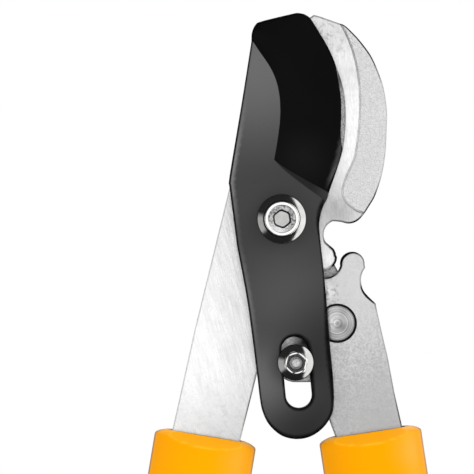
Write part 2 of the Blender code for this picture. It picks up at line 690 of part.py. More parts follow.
# Handles
def oval(arm, depth, half, start, end, sides=40):
    """A straight oval bar around the upper, straight part of a handle; half is its two half sizes."""
    x, z = along(arm, (start + end) / 2)
    turn = (0, -arm["side"] * math.radians(arm["tilt"]), 0)
    bpy.ops.mesh.primitive_cylinder_add(
        vertices=sides, radius=MM, depth=(end - start) * MM, location=world(x, depth, z), rotation=turn
    )
    found = bpy.context.object
    for vertex in found.data.vertices:
        vertex.co.x *= half[0]
        vertex.co.y *= half[1]
    return found


def arm_box(arm, depth, size, distance, tip=0.0):
    """A box centred on a handle at a distance below the mouth, tipped towards the front by tip degrees."""
    x, z = along(arm, distance)
    found = box((x, depth, z), size)
    found.rotation_euler = (math.radians(tip), -arm["side"] * math.radians(arm["tilt"]), 0)
    return found


def bent_rod(arm, depth, half, start, end):
    """An oval rod along the bent handle."""
    curve = bpy.data.curves.new("rod", "CURVE")
    curve.dimensions = "3D"
    curve.bevel_depth = half[0] * MM
    curve.bevel_resolution = 7
    curve.use_fill_caps = True
    bend_end = STRAIGHT_LENGTH + BEND_LENGTH
    stops = [start, *(STRAIGHT_LENGTH - 5 + k * (BEND_LENGTH + 10) / 6 for k in range(7)), end]
    stops = [s for s in stops if start <= s <= end]
    assert stops[-2] > bend_end - 20
    spline = curve.splines.new("POLY")
    spline.points.add(len(stops) - 1)
    for point, distance in zip(spline.points, stops):
        x, z = along(arm, distance)
        point.co = (x * MM, 0, z * MM, 1)
    source = bpy.data.objects.new("rod", curve)
    source.location = world(0, depth, 0)
    bpy.context.scene.collection.objects.link(source)
    found = as_mesh(source)
    for vertex in found.data.vertices:
        vertex.co.y *= half[1] / half[0]
    return round_shading(found)


RIB_PITCH = 0.0865 * GRIP_LENGTH
GRIP_PROFILE = [
    (0, 0),
    (15.9, 0),
    (17.4, -1.5),
    (17.6, -0.9 * RIB_PITCH),
    (18.6, -1.4 * RIB_PITCH),
    (17.3, -1.9 * RIB_PITCH),
    (18.9, -2.4 * RIB_PITCH),
    (17.6, -2.9 * RIB_PITCH),
    (19.2, -3.4 * RIB_PITCH),
    (18.2, -3.9 * RIB_PITCH),
    (19.6, -0.45 * GRIP_LENGTH),
    (18.4, -0.76 * GRIP_LENGTH),
    (18.8, -0.88 * GRIP_LENGTH),
    (20.6, -0.94 * GRIP_LENGTH),
    (22.5, 3 - GRIP_LENGTH),
    (21.8, -GRIP_LENGTH),
    (0, -GRIP_LENGTH),
]
CAP_PROFILE = [
    (0, 0),
    (21.6, 0),
    (22.4, -0.8),
    (22.2, -3.2),
    (20.4, -5.2),
    (17.5, -CAP_THICKNESS),
    (0, -CAP_THICKNESS),
]


def handle(arm, label, depth, bar_thickness, parent):
    """Collar, core, tube, rivets, grip and end cap of one arm."""
    collar = oval(arm, depth, COLLAR_HALF, 0, COLLAR_LENGTH, 40)
    bevel(collar, 2.0, 2)
    slope = math.radians(COLLAR_CHAMFER)
    for face in (-1, 1):
        reach = (COLLAR_HALF[1] + COLLAR_LAND) / 2 + 5 * math.sin(slope)
        rise = 5 * math.cos(slope) - (COLLAR_HALF[1] - COLLAR_LAND) / 2 * math.tan(slope)
        wedge = arm_box(arm, depth + face * reach, (60, 40, 10), -rise, -face * COLLAR_CHAMFER)
        combine(collar, wedge)
    mouth_slot = (2 * (BAR_HALF_WIDTH + GAP), bar_thickness + 2 * GAP, 24)
    combine(collar, arm_box(arm, depth, mouth_slot, 0))
    tube_room = (TUBE_HALF[0] + GAP, TUBE_HALF[1] + GAP)
    combine(collar, oval(arm, depth, tube_room, TUBE_START - GAP, COLLAR_LENGTH + 10, 28))

    core_half = (TUBE_HALF[0] - TUBE_WALL - GAP, TUBE_HALF[1] - TUBE_WALL - GAP)
    core = oval(arm, depth, core_half, TUBE_START, CORE_END, 24)
    tongue_slot = (2 * (TONGUE_HALF_WIDTH + GAP), bar_thickness + 2 * GAP, 2 * (TONGUE_END + GAP))
    combine(core, arm_box(arm, depth, tongue_slot, 0))

    tube_end = HANDLE_LENGTH - CAP_THICKNESS - GAP
    tube = bent_rod(arm, depth, TUBE_HALF, TUBE_START, tube_end)
    bore_half = (TUBE_HALF[0] - TUBE_WALL, TUBE_HALF[1] - TUBE_WALL)
    combine(tube, bent_rod(arm, depth, bore_half, TUBE_START - 4, tube_end + 4))

    grip_top = along(arm, GRIP_START)
    grip_turn = (0, -arm["side"] * GRIP_TILT, 0)
    grip = turned(GRIP_PROFILE, world(grip_top[0], depth, grip_top[1]), grip_turn, 28, False, GRIP_FLATNESS)
    combine(grip, bent_rod(arm, depth, tube_room, GRIP_START - 40, HANDLE_LENGTH + 20))
    keep(grip, label + "_grip", soft_rubber, parent)

    cap_top = along(arm, tube_end + GAP)
    cap = turned(CAP_PROFILE, world(cap_top[0], depth, cap_top[1]), grip_turn, 28, False, GRIP_FLATNESS)
    plug_half = (TUBE_HALF[0] - TUBE_WALL - GAP, TUBE_HALF[1] - TUBE_WALL - GAP)
    combine(cap, bent_rod(arm, depth, plug_half, tube_end - 14, tube_end + 2), "UNION")
    keep(cap, label + "_end_cap", yellow_plastic, parent)

    reach = depth - COLLAR_HALF[1] - GAP
    for order, distance in zip(("upper", "lower"), COLLAR_RIVETS):
        x, z = along(arm, distance)
        for piece in (collar, core, tube):
            combine(piece, disc(x, z, COLLAR_RIVET_RADIUS + HOLE_FIT, depth - 20, depth + 20, 16))
        far = 2 * (COLLAR_HALF[1] + GAP)
        profile = [
            (0, 1.5),
            (2.4, 1.15),
            (4.2, 0),
            (COLLAR_RIVET_RADIUS, 0),
            (COLLAR_RIVET_RADIUS, -far),
            (4.2, -far),
            (2.4, -far - 1.15),
            (0, -far - 1.5),
        ]
        rivet = turned(profile, world(x, reach, z), (90, 0, 0), 16)
        keep(rivet, label + "_collar_rivet_" + order, bright_zinc, parent)
    keep(round_shading(collar), label + "_collar", yellow_plastic, parent)
    keep(core, label + "_handle_core", dark_plastic, parent)
    keep(tube, label + "_handle_tube", dark_lacquer, parent)


handle(LEFT, "left", 0.0, BAR_THICKNESS, hook_frame)
handle(RIGHT, "right", ARM_MIDDLE, ARM_THICKNESS, gear_axis)

# The gear arm hangs on the link plate, which turns about the main pivot.
gear_axis.parent = link_axis
gear_axis.location -= link_axis.location
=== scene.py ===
"""The looks of a geared lopper: its pieces, finishes, floor, light and camera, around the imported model."""

import json
import math

import bmesh
import bpy
import numpy as np
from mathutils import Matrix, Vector, geometry


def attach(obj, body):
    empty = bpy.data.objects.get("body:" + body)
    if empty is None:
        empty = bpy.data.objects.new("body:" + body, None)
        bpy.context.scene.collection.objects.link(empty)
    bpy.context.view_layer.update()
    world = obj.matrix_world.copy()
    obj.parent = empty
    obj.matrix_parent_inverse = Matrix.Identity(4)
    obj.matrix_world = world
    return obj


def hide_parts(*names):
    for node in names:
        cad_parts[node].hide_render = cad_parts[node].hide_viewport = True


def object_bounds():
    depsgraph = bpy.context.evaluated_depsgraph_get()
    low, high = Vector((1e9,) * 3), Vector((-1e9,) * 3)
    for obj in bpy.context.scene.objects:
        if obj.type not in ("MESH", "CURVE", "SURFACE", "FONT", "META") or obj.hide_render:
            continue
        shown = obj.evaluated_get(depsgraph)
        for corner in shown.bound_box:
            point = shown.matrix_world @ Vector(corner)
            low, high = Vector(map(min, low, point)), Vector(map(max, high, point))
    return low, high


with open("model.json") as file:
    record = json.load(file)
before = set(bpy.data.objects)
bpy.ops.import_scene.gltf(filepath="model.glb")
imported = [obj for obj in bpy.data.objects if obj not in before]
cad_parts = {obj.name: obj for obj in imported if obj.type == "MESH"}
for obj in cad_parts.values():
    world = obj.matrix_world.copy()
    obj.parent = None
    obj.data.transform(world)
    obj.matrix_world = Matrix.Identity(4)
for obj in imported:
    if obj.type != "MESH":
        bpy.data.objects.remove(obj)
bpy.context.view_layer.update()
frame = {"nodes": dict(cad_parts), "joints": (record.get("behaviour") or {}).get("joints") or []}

MM = 0.001
MAIN_PIVOT = np.array(next(joint["pos_m"] for joint in frame["joints"] if joint["name"] == "link_swing"))

# Sizes in millimetres, with x and z from the main pivot and y from the middle of the left bar
FIT = 0.3
BLADE_FRONT, BLADE_BACK = -11.85, -7.85
ARM_FRONT, ARM_BACK = -7.55, -2.55
BAR_FRONT, BAR_BACK = -2.25, 2.25
LINK_FRONT, LINK_BACK = 2.55, 5.55
ARM_MIDDLE = (ARM_FRONT + ARM_BACK) / 2
WASHER_BACK = BLADE_FRONT - FIT
WASHER_FRONT = WASHER_BACK - 1.8
HEAD_BACK = WASHER_FRONT - FIT
HEAD_FRONT = HEAD_BACK - 5.0
PIVOT, GEAR_PIVOT, SLIDE_BOLT = (0, 0), (20.65, -38.63), (5.14, -52.91)
PIVOT_BORE, GEAR_BORE, SLIDE_BORE, RIVET_BORE = 5.8, 4.3, 2.8, 2.7
SLOT_HALF_WIDTH = 4.8
SLOT_START, SLOT_END = 48.5, 65.3
LINK_HALF_WIDTH = 9.5
BOSS_CLEARANCE = 13.7
BAR_HALF_WIDTH = 12.8
TONGUE_HALF_WIDTH = 10.8
TONGUE_START, TONGUE_END = 6.0, 56.0
STRAIGHT_LENGTH, BEND_LENGTH, HANDLE_LENGTH = 110.0, 150.0, 577.0
GRIP_TILT = 3.0
COLLAR_HALF = (19.1, 12.0)
COLLAR_LENGTH = 58.0
COLLAR_LAND = 5.4
COLLAR_FRONT = -11.0
RIVETS_ALONG = (24.0, 44.0)
TUBE_HALF, TUBE_WALL = (15.0, 9.0), 1.6
TUBE_ROOM = (TUBE_HALF[0] + FIT, TUBE_HALF[1] + FIT)
TUBE_START = 10.0
CAP_THICKNESS = 6.0
GRIP_LENGTH, GRIP_FLATNESS = 185.0, 0.7
GRIP_START = HANDLE_LENGTH - CAP_THICKNESS - FIT - GRIP_LENGTH
LEFT = {"mouth": (-28.0, -80.7), "tilt": 9.5, "side": -1, "depth": 0.0}
RIGHT = {"mouth": (32.7, -78.9), "tilt": 8.6, "side": 1, "depth": ARM_MIDDLE}

# How far from a rim its painted shade and highlight reach, what counts as the back's distance and a wall's
# share of painted shade
RIM_REACH, BACK_SHIFT, WALL_SHADE = 2.4, 0.2, 0.74

# The photograph's width and the main pivot's place in it in pixels, and the size of a pixel in millimetres
PHOTO_WIDTH, PIVOT_PIXEL, PIXEL = 474, (281.6, 219), 0.37


# Lines in the plane of the head


def polar(centre, radius, angle):
    turn = math.radians(angle)
    return (centre[0] + radius * math.cos(turn), centre[1] + radius * math.sin(turn))


def arc(centre, radius, start, end, steps):
    return [polar(centre, radius, start + (end - start) * k / steps) for k in range(steps + 1)]


def circle(centre, radius, steps=64):
    return arc(centre, radius, 0, 360 * (steps - 1) / steps, steps - 1)


def through(points, steps=8):
    """A smooth line through the points, without its last point."""
    line = [Vector(point) for point in points]
    line = [2 * line[0] - line[1], *line, 2 * line[-1] - line[-2]]
    found = []
    for a, b, c, d in zip(line, line[1:], line[2:], line[3:]):
        for k in range(steps):
            t = k / steps
            point = b + 0.5 * t * (c - a + t * (2 * a - 5 * b + 4 * c - d + t * (3 * (b - c) + d - a)))
            found.append(tuple(point))
    return found


def curves(*runs):
    """Smooth lines with corners between them: each goes on from the one before, without the last point."""
    found = through(runs[0])
    for before, run in zip(runs, runs[1:]):
        found += through([before[-1], *run])
    return found


def even(points, step, closed=True):
    """The same line with its long stretches divided."""
    found = []
    ends = points[1:] + points[:1] if closed else points[1:]
    for start, end in zip(points, ends):
        start, end = np.array(start), np.array(end)
        count = max(1, int(round(np.linalg.norm(end - start) / step)))
        found += [tuple(start + (end - start) * k / count) for k in range(count)]
    return found if closed else found + [points[-1]]


def sideways(run):
    """The unit step to the left of each direction."""
    return np.stack([-run[:, 1], run[:, 0]], -1) / np.maximum(np.hypot(*run.T), 1e-9)[:, None]


def shifted(line, offset):
    """A line moved sideways."""
    line = np.asarray(line)
    return [tuple(point) for point in line + sideways(np.gradient(line, axis=0)) * offset]


def along(arm, distance, offset=0.0):
    """A point on an arm's bent centre line below its collar's mouth, moved outwards by offset."""
    x, z = arm["mouth"]
    travelled = 0.0
    angle = math.radians(arm["tilt"])
    while travelled < distance - 1e-9:
        step = min(5.0, distance - travelled)
        bend = min(max((travelled + step / 2 - STRAIGHT_LENGTH) / BEND_LENGTH, 0.0), 1.0)
        angle = math.radians(arm["tilt"] + (GRIP_TILT - arm["tilt"]) * bend)
        x += arm["side"] * step * math.sin(angle)
        z -= step * math.cos(angle)
        travelled += step
    return (x + arm["side"] * offset * math.cos(angle), z + offset * math.sin(angle))


def distance_to(points, line, closed=True):
    """For each point, how far it is from a line."""
    line = np.asarray(line, float)
    ends = np.roll(line, -1, 0) if closed else line[1:]
    best = np.full(len(points), 1e9)
    for start, end in zip(line, ends):
        span = end - start
        length = np.hypot(*span)
        if length >= 1e-9:
            share = np.clip(((points - start) @ span) / length**2, 0, 1)
            best = np.minimum(best, np.hypot(*(points - start - share[:, None] * span).T))
    return best


def within(points, loop):
    """Whether each point lies inside a loop."""
    loop = np.asarray(loop, float)
    x, y = points[:, 0], points[:, 1]
    inside = np.zeros(len(points), bool)
    for (x0, y0), (x1, y1) in zip(loop, np.roll(loop, -1, 0)):
        if y0 != y1:
            inside ^= ((y0 > y) != (y1 > y)) & (x < (x1 - x0) * (y - y0) / (y1 - y0) + x0)
    return inside


# Making meshes


def placed(name, data):
    """A new object in the scene."""
    thing = bpy.data.objects.new(name, data)
    bpy.context.scene.collection.objects.link(thing)
    return thing


def make_piece(name, shape, looks, body, replaced=(), regions=None, edge=None, sharp=35.0):
    """A finished piece from corners in millimetres and faces, on a body and in the place of its CAD nodes."""
    corners, faces = shape
    mesh = bpy.data.meshes.new(name)
    mesh.from_pydata((np.asarray(corners, float) * MM + MAIN_PIVOT).tolist(), [], faces)
    for look in looks:
        mesh.materials.append(look)
    if regions is not None:
        mesh.polygons.foreach_set("material_index", np.asarray(regions, np.int32))
    if edge is not None:
        mesh.attributes.new("edge", "FLOAT", "POINT").data.foreach_set("value", np.asarray(edge, np.float32))
    work = bmesh.new()
    work.from_mesh(mesh)
    bmesh.ops.recalc_face_normals(work, faces=work.faces)
    work.to_mesh(mesh)
    work.free()
    mesh.shade_smooth()
    mesh.set_sharp_from_angle(angle=math.radians(sharp))
    return dress(placed(name, mesh), body, replaced)


def dress(piece, body, replaced=()):
    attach(piece, body)
    if replaced:
        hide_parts(*replaced)
    return piece


# The rows of corners beside a rim, as shares of its radius
RIM_ROWS = (0.12, 0.35, 0.65, 1.0, 1.6)


def to_rims(points, loops):
    return np.min([distance_to(points, loop) for loop in loops], axis=0)


def solid_at(points, loops):
    """Whether each point lies inside the first loop and outside the others."""
    inside = within(points, loops[0])
    for loop in loops[1:]:
        inside &= ~within(points, loop)
    return inside


def filled(loops, creases, rim, spacing):
    """The triangles between an outline and its holes: small beside the rims, with edges along the creases."""
    found = []
    for share in RIM_ROWS:
        for loop in loops:
            step = sideways(np.roll(loop, -1, 0) - np.roll(loop, 1, 0)) * rim * share
            for row in (loop - step, loop + step):
                found.append(row[solid_at(row, loops) & (to_rims(row, loops) > 0.9 * rim * share)])
    low, high = loops[0].min(0), loops[0].max(0)
    grid = []
    for k, height in enumerate(np.arange(low[1], high[1], spacing * 0.87)):
        across = np.arange(low[0] + (k % 2) * spacing / 2, high[0], spacing)
        grid.append(np.stack([across, np.full(len(across), height)], -1))
    grid = np.concatenate(grid)
    keep = solid_at(grid, loops) & (to_rims(grid, loops) > RIM_ROWS[-1] * rim + 0.4 * spacing)
    for line in creases:
        keep &= distance_to(grid, line, closed=False) > 0.4 * spacing
    found.append(grid[keep])

    points, bars = [], []
    for line, closed in [(loop, True) for loop in loops] + [(line, False) for line in creases]:
        first = len(points)
        points += [tuple(point) for point in line]
        bars += [(k, k + 1) for k in range(first, len(points) - 1)]
        if closed:
            bars.append((len(points) - 1, first))
    points += [tuple(point) for row in found for point in row]
    plan, _, cells, *_ = geometry.delaunay_2d_cdt([Vector(p) for p in points], bars, [], 0, 1e-4)
    plan = np.array([tuple(p) for p in plan])
    cells = np.array([tuple(c) for c in cells])
    used, cells = np.unique(cells[solid_at(plan[cells].mean(1), loops)], return_inverse=True)
    return plan[used], cells.reshape(-1, 3)


def rim_nearness(away):
    """How near a rim a place lies, for the painted shade and highlight there: 1 on the rim and 0 beyond its
    reach.
    """
    return np.clip(1 - away / RIM_REACH, 0, 1)


def plate(
    name, outline, holes, front, back, looks, body, replaced,
    relief=None, region=None, creases=(), grooves=(), rim=0.35, spacing=1.6, sharp=35.0, back_look=0,
):
    """A flat piece: its front may sink by relief, its rims are rounded, and region picks the looks."""
    loops = [np.array(even(list(loop), 0.8)) for loop in (outline, *holes)]
    plan, cells = filled(loops, [even(line, 0.7, closed=False) for line in creases], rim, spacing)
    away = to_rims(plan, loops)
    depth = relief(plan) if relief else np.zeros(len(plan))
    thick = back - front - depth
    width = np.minimum(rim, 0.4 * thick)
    rounding = width - np.sqrt(np.maximum(width**2 - np.clip(width - away, 0, None) ** 2, 0))
    front_y, back_y = front + depth + rounding, back - rounding

    count = len(plan)
    seen = {(cell[k], cell[k - 2]) for cell in cells.tolist() for k in range(3)}
    rims = [edge for edge in seen if (edge[1], edge[0]) not in seen]
    rim_points = sorted({a for a, _ in rims})
    wall = {point: 2 * count + k for k, point in enumerate(rim_points)}
    inset = np.minimum(0.5, 0.2 * thick)[rim_points]
    rows = [(plan, front_y), (plan, back_y)]
    rows += [(plan[rim_points], front_y[rim_points] + inset), (plan[rim_points], back_y[rim_points] - inset)]
    corners = np.concatenate([np.stack([flat[:, 0], y, flat[:, 1]], -1) for flat, y in rows])
    faces = cells.tolist() + (cells[:, ::-1] + count).tolist()
    for a, b in rims:
        upper, lower = (wall[a], wall[b]), (wall[a] + len(wall), wall[b] + len(wall))
        faces += [(b, a, *upper), (*upper[::-1], *lower), (*lower[::-1], a + count, b + count)]

    face_looks = np.zeros(len(faces), int)
    if region:
        face_looks[: len(cells)] = region(plan[cells].mean(1))
    face_looks[len(cells) :] = back_look
    # The edge attribute carries painted shade along the rims, the grooves and the walls, and a painted
    # highlight on a strip inside the rims.
    front_nearness = rim_nearness(away)
    for line in grooves:
        front_nearness = np.maximum(front_nearness, rim_nearness(1.5 * distance_to(plan, line, closed=False) + 0.28))
    nearness = np.concatenate([front_nearness, rim_nearness(away + BACK_SHIFT), np.full(2 * len(wall), WALL_SHADE)])
    piece = make_piece(name, (corners, faces), looks, body, replaced, face_looks, nearness, sharp)
    if region:
        part_by_look(piece)


def part_by_look(piece):
    """A crisp shading edge wherever two finishes meet."""
    work = bmesh.new()
    work.from_mesh(piece.data)
    for edge in work.edges:
        if len({face.material_index for face in edge.link_faces}) > 1:
            edge.smooth = False
    work.to_mesh(piece.data)
    work.free()


def stack(rings, closed=False):
    """Corners and faces of a skin over a stack of rings with equal numbers of corners."""
    size = len(rings[0])
    corners = [tuple(point) for ring in rings for point in ring]
    faces = []
    for a in range(len(rings) if closed else len(rings) - 1):
        b = (a + 1) % len(rings)
        for k in range(size):
            n = (k + 1) % size
            faces.append((a * size + k, a * size + n, b * size + n, b * size + k))
    for ring in () if closed else (0, len(rings) - 1):
        corners.append(tuple(np.mean(rings[ring], axis=0)))
        faces += [(ring * size + k, ring * size + (k + 1) % size, len(corners) - 1) for k in range(size)]
    return corners, faces


def joined(*shapes):
    """Several corner and face lists as one."""
    corners, faces = [], []
    for some, others in shapes:
        faces += [tuple(k + len(corners) for k in face) for face in others]
        corners += list(some)
    return corners, faces


def ring_of(count, corner_at):
    """A ring of corners, each found from its turn."""
    return [corner_at(2 * math.pi * k / count) for k in range(count)]


def around(centre, reach, turn, y):
    return (centre[0] + reach * math.cos(turn), y, centre[1] + reach * math.sin(turn))


def turned(profile, centre, steps=72, closed=False, reach_at=lambda place, radius, turn: radius):
    """A shape turned about an axis along Y: profile is radius and depth y."""

    def ring(place, radius, y):
        return ring_of(steps, lambda turn: around(centre, reach_at(place, radius, turn), turn, y))

    return stack([ring(place, *spot) for place, spot in enumerate(profile)], closed)


def hexagon(half_width, turn, start=0.0):
    """How far a hexagon's side is from its middle in one direction."""
    return half_width / math.cos((turn - start) % (math.pi / 3) - math.pi / 6)


# Nodes


def add(tree, kind, inputs=None, family="Shader", **settings):
    """A node with its settings; an input is a constant or another node's output."""
    node = tree.nodes.new(family + "Node" + kind)
    for key, value in settings.items():
        setattr(node, key, value)
    for key, value in (inputs or {}).items():
        if isinstance(value, bpy.types.NodeSocket):
            tree.links.new(value, node.inputs[key])
        else:
            node.inputs[key].default_value = value
    return node


def calc(tree, operation, first, second=0.0, clamp=False):
    return add(tree, "Math", {0: first, 1: second}, operation=operation, use_clamp=clamp).outputs[0]


def plus(tree, first, second):
    return calc(tree, "ADD", first, second)


def times(tree, first, second, clamp=False):
    return calc(tree, "MULTIPLY", first, second, clamp)


def blend(tree, share, first, second, blend_type="MIX"):
    """A colour between two others."""
    inputs = {0: share, 6: first, 7: second}
    return add(tree, "Mix", inputs, data_type="RGBA", blend_type=blend_type).outputs[2]


def spread(tree, value, low, high, new_low=0.0, new_high=1.0):
    """A value moved from one range to another, held inside it."""
    inputs = {0: value, 1: low, 2: high, 3: new_low, 4: new_high}
    return add(tree, "MapRange", inputs).outputs[0]


def noise(tree, vector, scale, detail=2.0, roughness=0.5):
    inputs = {"Vector": vector, "Scale": scale, "Detail": detail, "Roughness": roughness}
    return add(tree, "TexNoise", inputs).outputs[0]


def grey(value):
    return (value, value, value, 1.0)


def combine(tree, x, y=0.0, z=0.0):
    return add(tree, "CombineXYZ", {0: x, 1: y, 2: z}).outputs[0]


def split(tree, vector):
    return add(tree, "SeparateXYZ", {0: vector}).outputs


def feed(shader, **values):
    """Links node outputs to a shader's inputs, where _ stands for a space."""
    for key, value in values.items():
        shader.id_data.links.new(value, shader.inputs[key.replace("_", " ")])


# Shader groups: each makes its outputs from a vector and its own inputs


def brushed_grain(tree, given):
    """Fine parallel strokes that run across the tool at an angle, and broad uneven bands among them."""
    inputs = {"Vector": given["Vector"], "Angle": given["Angle"]}
    x, y, z = split(tree, add(tree, "VectorRotate", inputs, rotation_type="Y_AXIS").outputs[0])
    long, fine = given["Long"], given["Fine"]
    stretched = combine(tree, times(tree, x, long), times(tree, y, long), times(tree, z, fine))
    return {"Streak": noise(tree, stretched, 1.0, 4.0, 0.65), "Band": noise(tree, stretched, 0.13, 3.0, 0.6)}


def blasted_grain(tree, given):
    """The even, sparkling roughness of a blasted or forged face."""
    fine = noise(tree, given["Vector"], given["Grain"], 2.0, 0.6)
    coarse = noise(tree, given["Vector"], times(tree, given["Grain"], 0.35), 3.0, 0.6)
    both = plus(tree, times(tree, fine, 0.75), times(tree, coarse, 0.25))
    return {"Mottle": spread(tree, both, 0.38, 0.62), "Height": both}


def handling_marks(tree, given):
    """Broad soft clouds, as from oil, fingers and uneven coating."""
    cloud = noise(tree, given["Vector"], given["Size"], 3.0, 0.55)
    speck = noise(tree, given["Vector"], times(tree, given["Size"], 30.0), 1.0)
    return {"Cloud": spread(tree, cloud, 0.3, 0.7), "Speck": spread(tree, speck, 0.68, 0.76)}


def rim_shade_and_highlight(tree, given):
    """Along a rim: painted dark shade on it, and a painted highlight on the strip just inside it."""
    edge = add(tree, "Attribute", attribute_name="edge").outputs["Fac"]
    away = times(tree, calc(tree, "SUBTRACT", 1.0, edge), RIM_REACH)
    share = calc(tree, "DIVIDE", away, given["Width"])
    broken = noise(tree, given["Vector"], given["Patch"], 3.0, 0.6)
    near = times(tree, spread(tree, share, 0.5, 1.0, 1.0, 0.0), spread(tree, broken, 0.35, 0.65, 0.75, 1.0))
    strip = times(tree, spread(tree, share, 0.8, 1.2), spread(tree, away, 1.2, 2.3, 1.0, 0.0))
    highlight = times(tree, strip, spread(tree, broken, 0.3, 0.7, 0.6, 1.0))
    return {"Mask": times(tree, near, given["Amount"], clamp=True), "Rub": highlight}


def moulded_skin(tree, given):
    """The faint orange-peel of a moulded or lacquered skin."""
    tone = noise(tree, given["Vector"], times(tree, given["Grain"], 0.03), 2.0, 0.5)
    peel = noise(tree, given["Vector"], given["Grain"], 2.0, 0.5)
    return {"Height": peel, "Tone": spread(tree, tone, 0.3, 0.7)}


def soft_patch(tree, given):
    """How much of a soft round patch lies at a place: all in its middle, and nothing beyond its reach."""
    ends = {0: given["Vector"], 1: given["Middle"]}
    away = add(tree, "VectorMath", ends, operation="DISTANCE").outputs["Value"]
    limits = {0: away, 1: 0.0, 2: given["Reach"], 3: 1.0, 4: 0.0}
    return {"Share": add(tree, "MapRange", limits, interpolation_type="SMOOTHSTEP").outputs[0]}


def dull_stains(tree, given):
    """Small ragged stains, as from damp and cutting oil."""
    return {"Mask": spread(tree, noise(tree, given["Vector"], given["Grain"], 4.0, 0.65), 0.5, 0.66)}


def shader_group(made_by, **given):
    """A node group named after the function that makes it; an input with no number is a vector."""
    tree = bpy.data.node_groups.new(made_by.__name__, "ShaderNodeTree")
    for label, default in {"Vector": None, **given}.items():
        kind = "NodeSocketVector" if default is None else "NodeSocketFloat"
        socket = tree.interface.new_socket(label, in_out="INPUT", socket_type=kind)
        if default is not None:
            socket.default_value = default
    found = made_by(tree, tree.nodes.new("NodeGroupInput").outputs)
    for label in found:
        tree.interface.new_socket(label, in_out="OUTPUT", socket_type="NodeSocketFloat")
    put = tree.nodes.new("NodeGroupOutput").inputs
    for label, value in found.items():
        tree.links.new(value, put[label])
    return tree


BRUSHED = shader_group(brushed_grain, Angle=0.0, Fine=2500.0, Long=60.0)
BLASTED = shader_group(blasted_grain, Grain=2600.0)
MARKS = shader_group(handling_marks, Size=40.0)
RIM_SHADING = shader_group(rim_shade_and_highlight, Amount=0.5, Width=0.8, Patch=350.0)
MOULDED = shader_group(moulded_skin, Grain=900.0)
PATCH = shader_group(soft_patch, Middle=None, Reach=0.01)
STAINS = shader_group(dull_stains, Grain=560.0)


def use(tree, group, **inputs):
    """A shader group placed in a material with its own values."""
    return add(tree, "Group", inputs, node_tree=group).outputs


# Finishes


def finish_of(name, **constants):
    """A new material: its tree, its shader and its Object coordinates."""
    material = bpy.data.materials.new(name)
    material.use_nodes = True
    tree = material.node_tree
    shader = tree.nodes["Principled BSDF"]
    for key, value in constants.items():
        shader.inputs[key.replace("_", " ")].default_value = value
    return material, tree, shader, add(tree, "TexCoord").outputs["Object"]


def bump(shader, height, strength, distance):
    inputs = {"Height": height, "Strength": strength, "Distance": distance}
    feed(shader, Normal=add(shader.id_data, "Bump", inputs).outputs[0])


def patches(tree, place, tone, spots, depth):
    """Soft patches over a tone: each has a middle in millimetres from the pivot, a reach and a new tone."""
    for x, z, reach, value in spots:
        middle = Vector(MAIN_PIVOT) + Vector((x, depth, z)) * MM
        share = use(tree, PATCH, Vector=place, Middle=middle, Reach=reach * MM)["Share"]
        tone = blend(tree, share, tone, grey(value))
    return tone


def varied(tree, place, value, spots, depth):
    """A number that has other values in soft patches."""
    return patches(tree, place, grey(value), spots, depth) if spots else value


def shaded(tree, place, tone, painted_shading, depth):
    """Painted light and shade: a tone multiplied by other shares in soft patches, so that its grain stays."""
    if not painted_shading:
        return tone
    return blend(tree, 1.0, tone, patches(tree, place, grey(1.0), painted_shading, depth), "MULTIPLY")


def stained(tree, place, tone, dull, base, stain, depth):
    """Small dull stains over a tone, with a base strength everywhere and another one in places."""
    stains = use(tree, STAINS, Vector=place)["Mask"]
    return blend(tree, times(tree, stains, varied(tree, place, base, stain, depth)), tone, dull)


def rim_shaded(
    tree, shader, place, tone, metallic, sheen, depth, line=0.5, lines=(), width=0.7, widths=(), rubs=()
):
    """Painted dark shade along the rims of a finish, dull there, and a painted highlight on a strip just
    inside them where asked.
    """
    amount, reach = varied(tree, place, line, lines, depth), varied(tree, place, width, widths, depth)
    rim = use(tree, RIM_SHADING, Vector=place, Amount=amount, Width=reach)
    if rubs:
        highlighted = times(tree, rim["Rub"], varied(tree, place, 0.0, rubs, depth))
        tone = blend(tree, highlighted, tone, grey(0.2))
    feed(
        shader,
        Base_Color=blend(tree, rim["Mask"], tone, grey(0.003)),
        Metallic=spread(tree, rim["Mask"], 0.0, 1.0, metallic, 0.0),
        Specular_IOR_Level=spread(tree, rim["Mask"], 0.0, 1.0, sheen, 0.0),
    )


def coated_black(
    name, dark, light, roughness, sheen, grain=1400.0, spots=(), sheens=(), depth=BLADE_FRONT, **rims
):
    """Black coating on steel: clouds in tone and gloss, a fine skin, painted sheen and shade in soft patches,
    and rims with painted shade and a painted highlight strip.
    """
    material, tree, shader, place = finish_of(name, Specular_IOR_Level=sheen)
    marks = use(tree, MARKS, Vector=place, Size=28.0)
    # The spots paint sheen and shade onto the coating's tone.
    tone = patches(tree, place, blend(tree, marks["Cloud"], grey(dark), grey(light)), spots, depth)
    tone = blend(tree, times(tree, marks["Speck"], 0.25), tone, grey(dark * 0.4))
    rim_shaded(tree, shader, place, tone, 0.0, varied(tree, place, sheen, sheens, depth), depth, **rims)
    feed(shader, Roughness=spread(tree, marks["Cloud"], 0.0, 1.0, roughness - 0.04, roughness + 0.06))
    bump(shader, use(tree, MOULDED, Vector=place, Grain=grain)["Height"], 0.18, 0.00006)
    return material


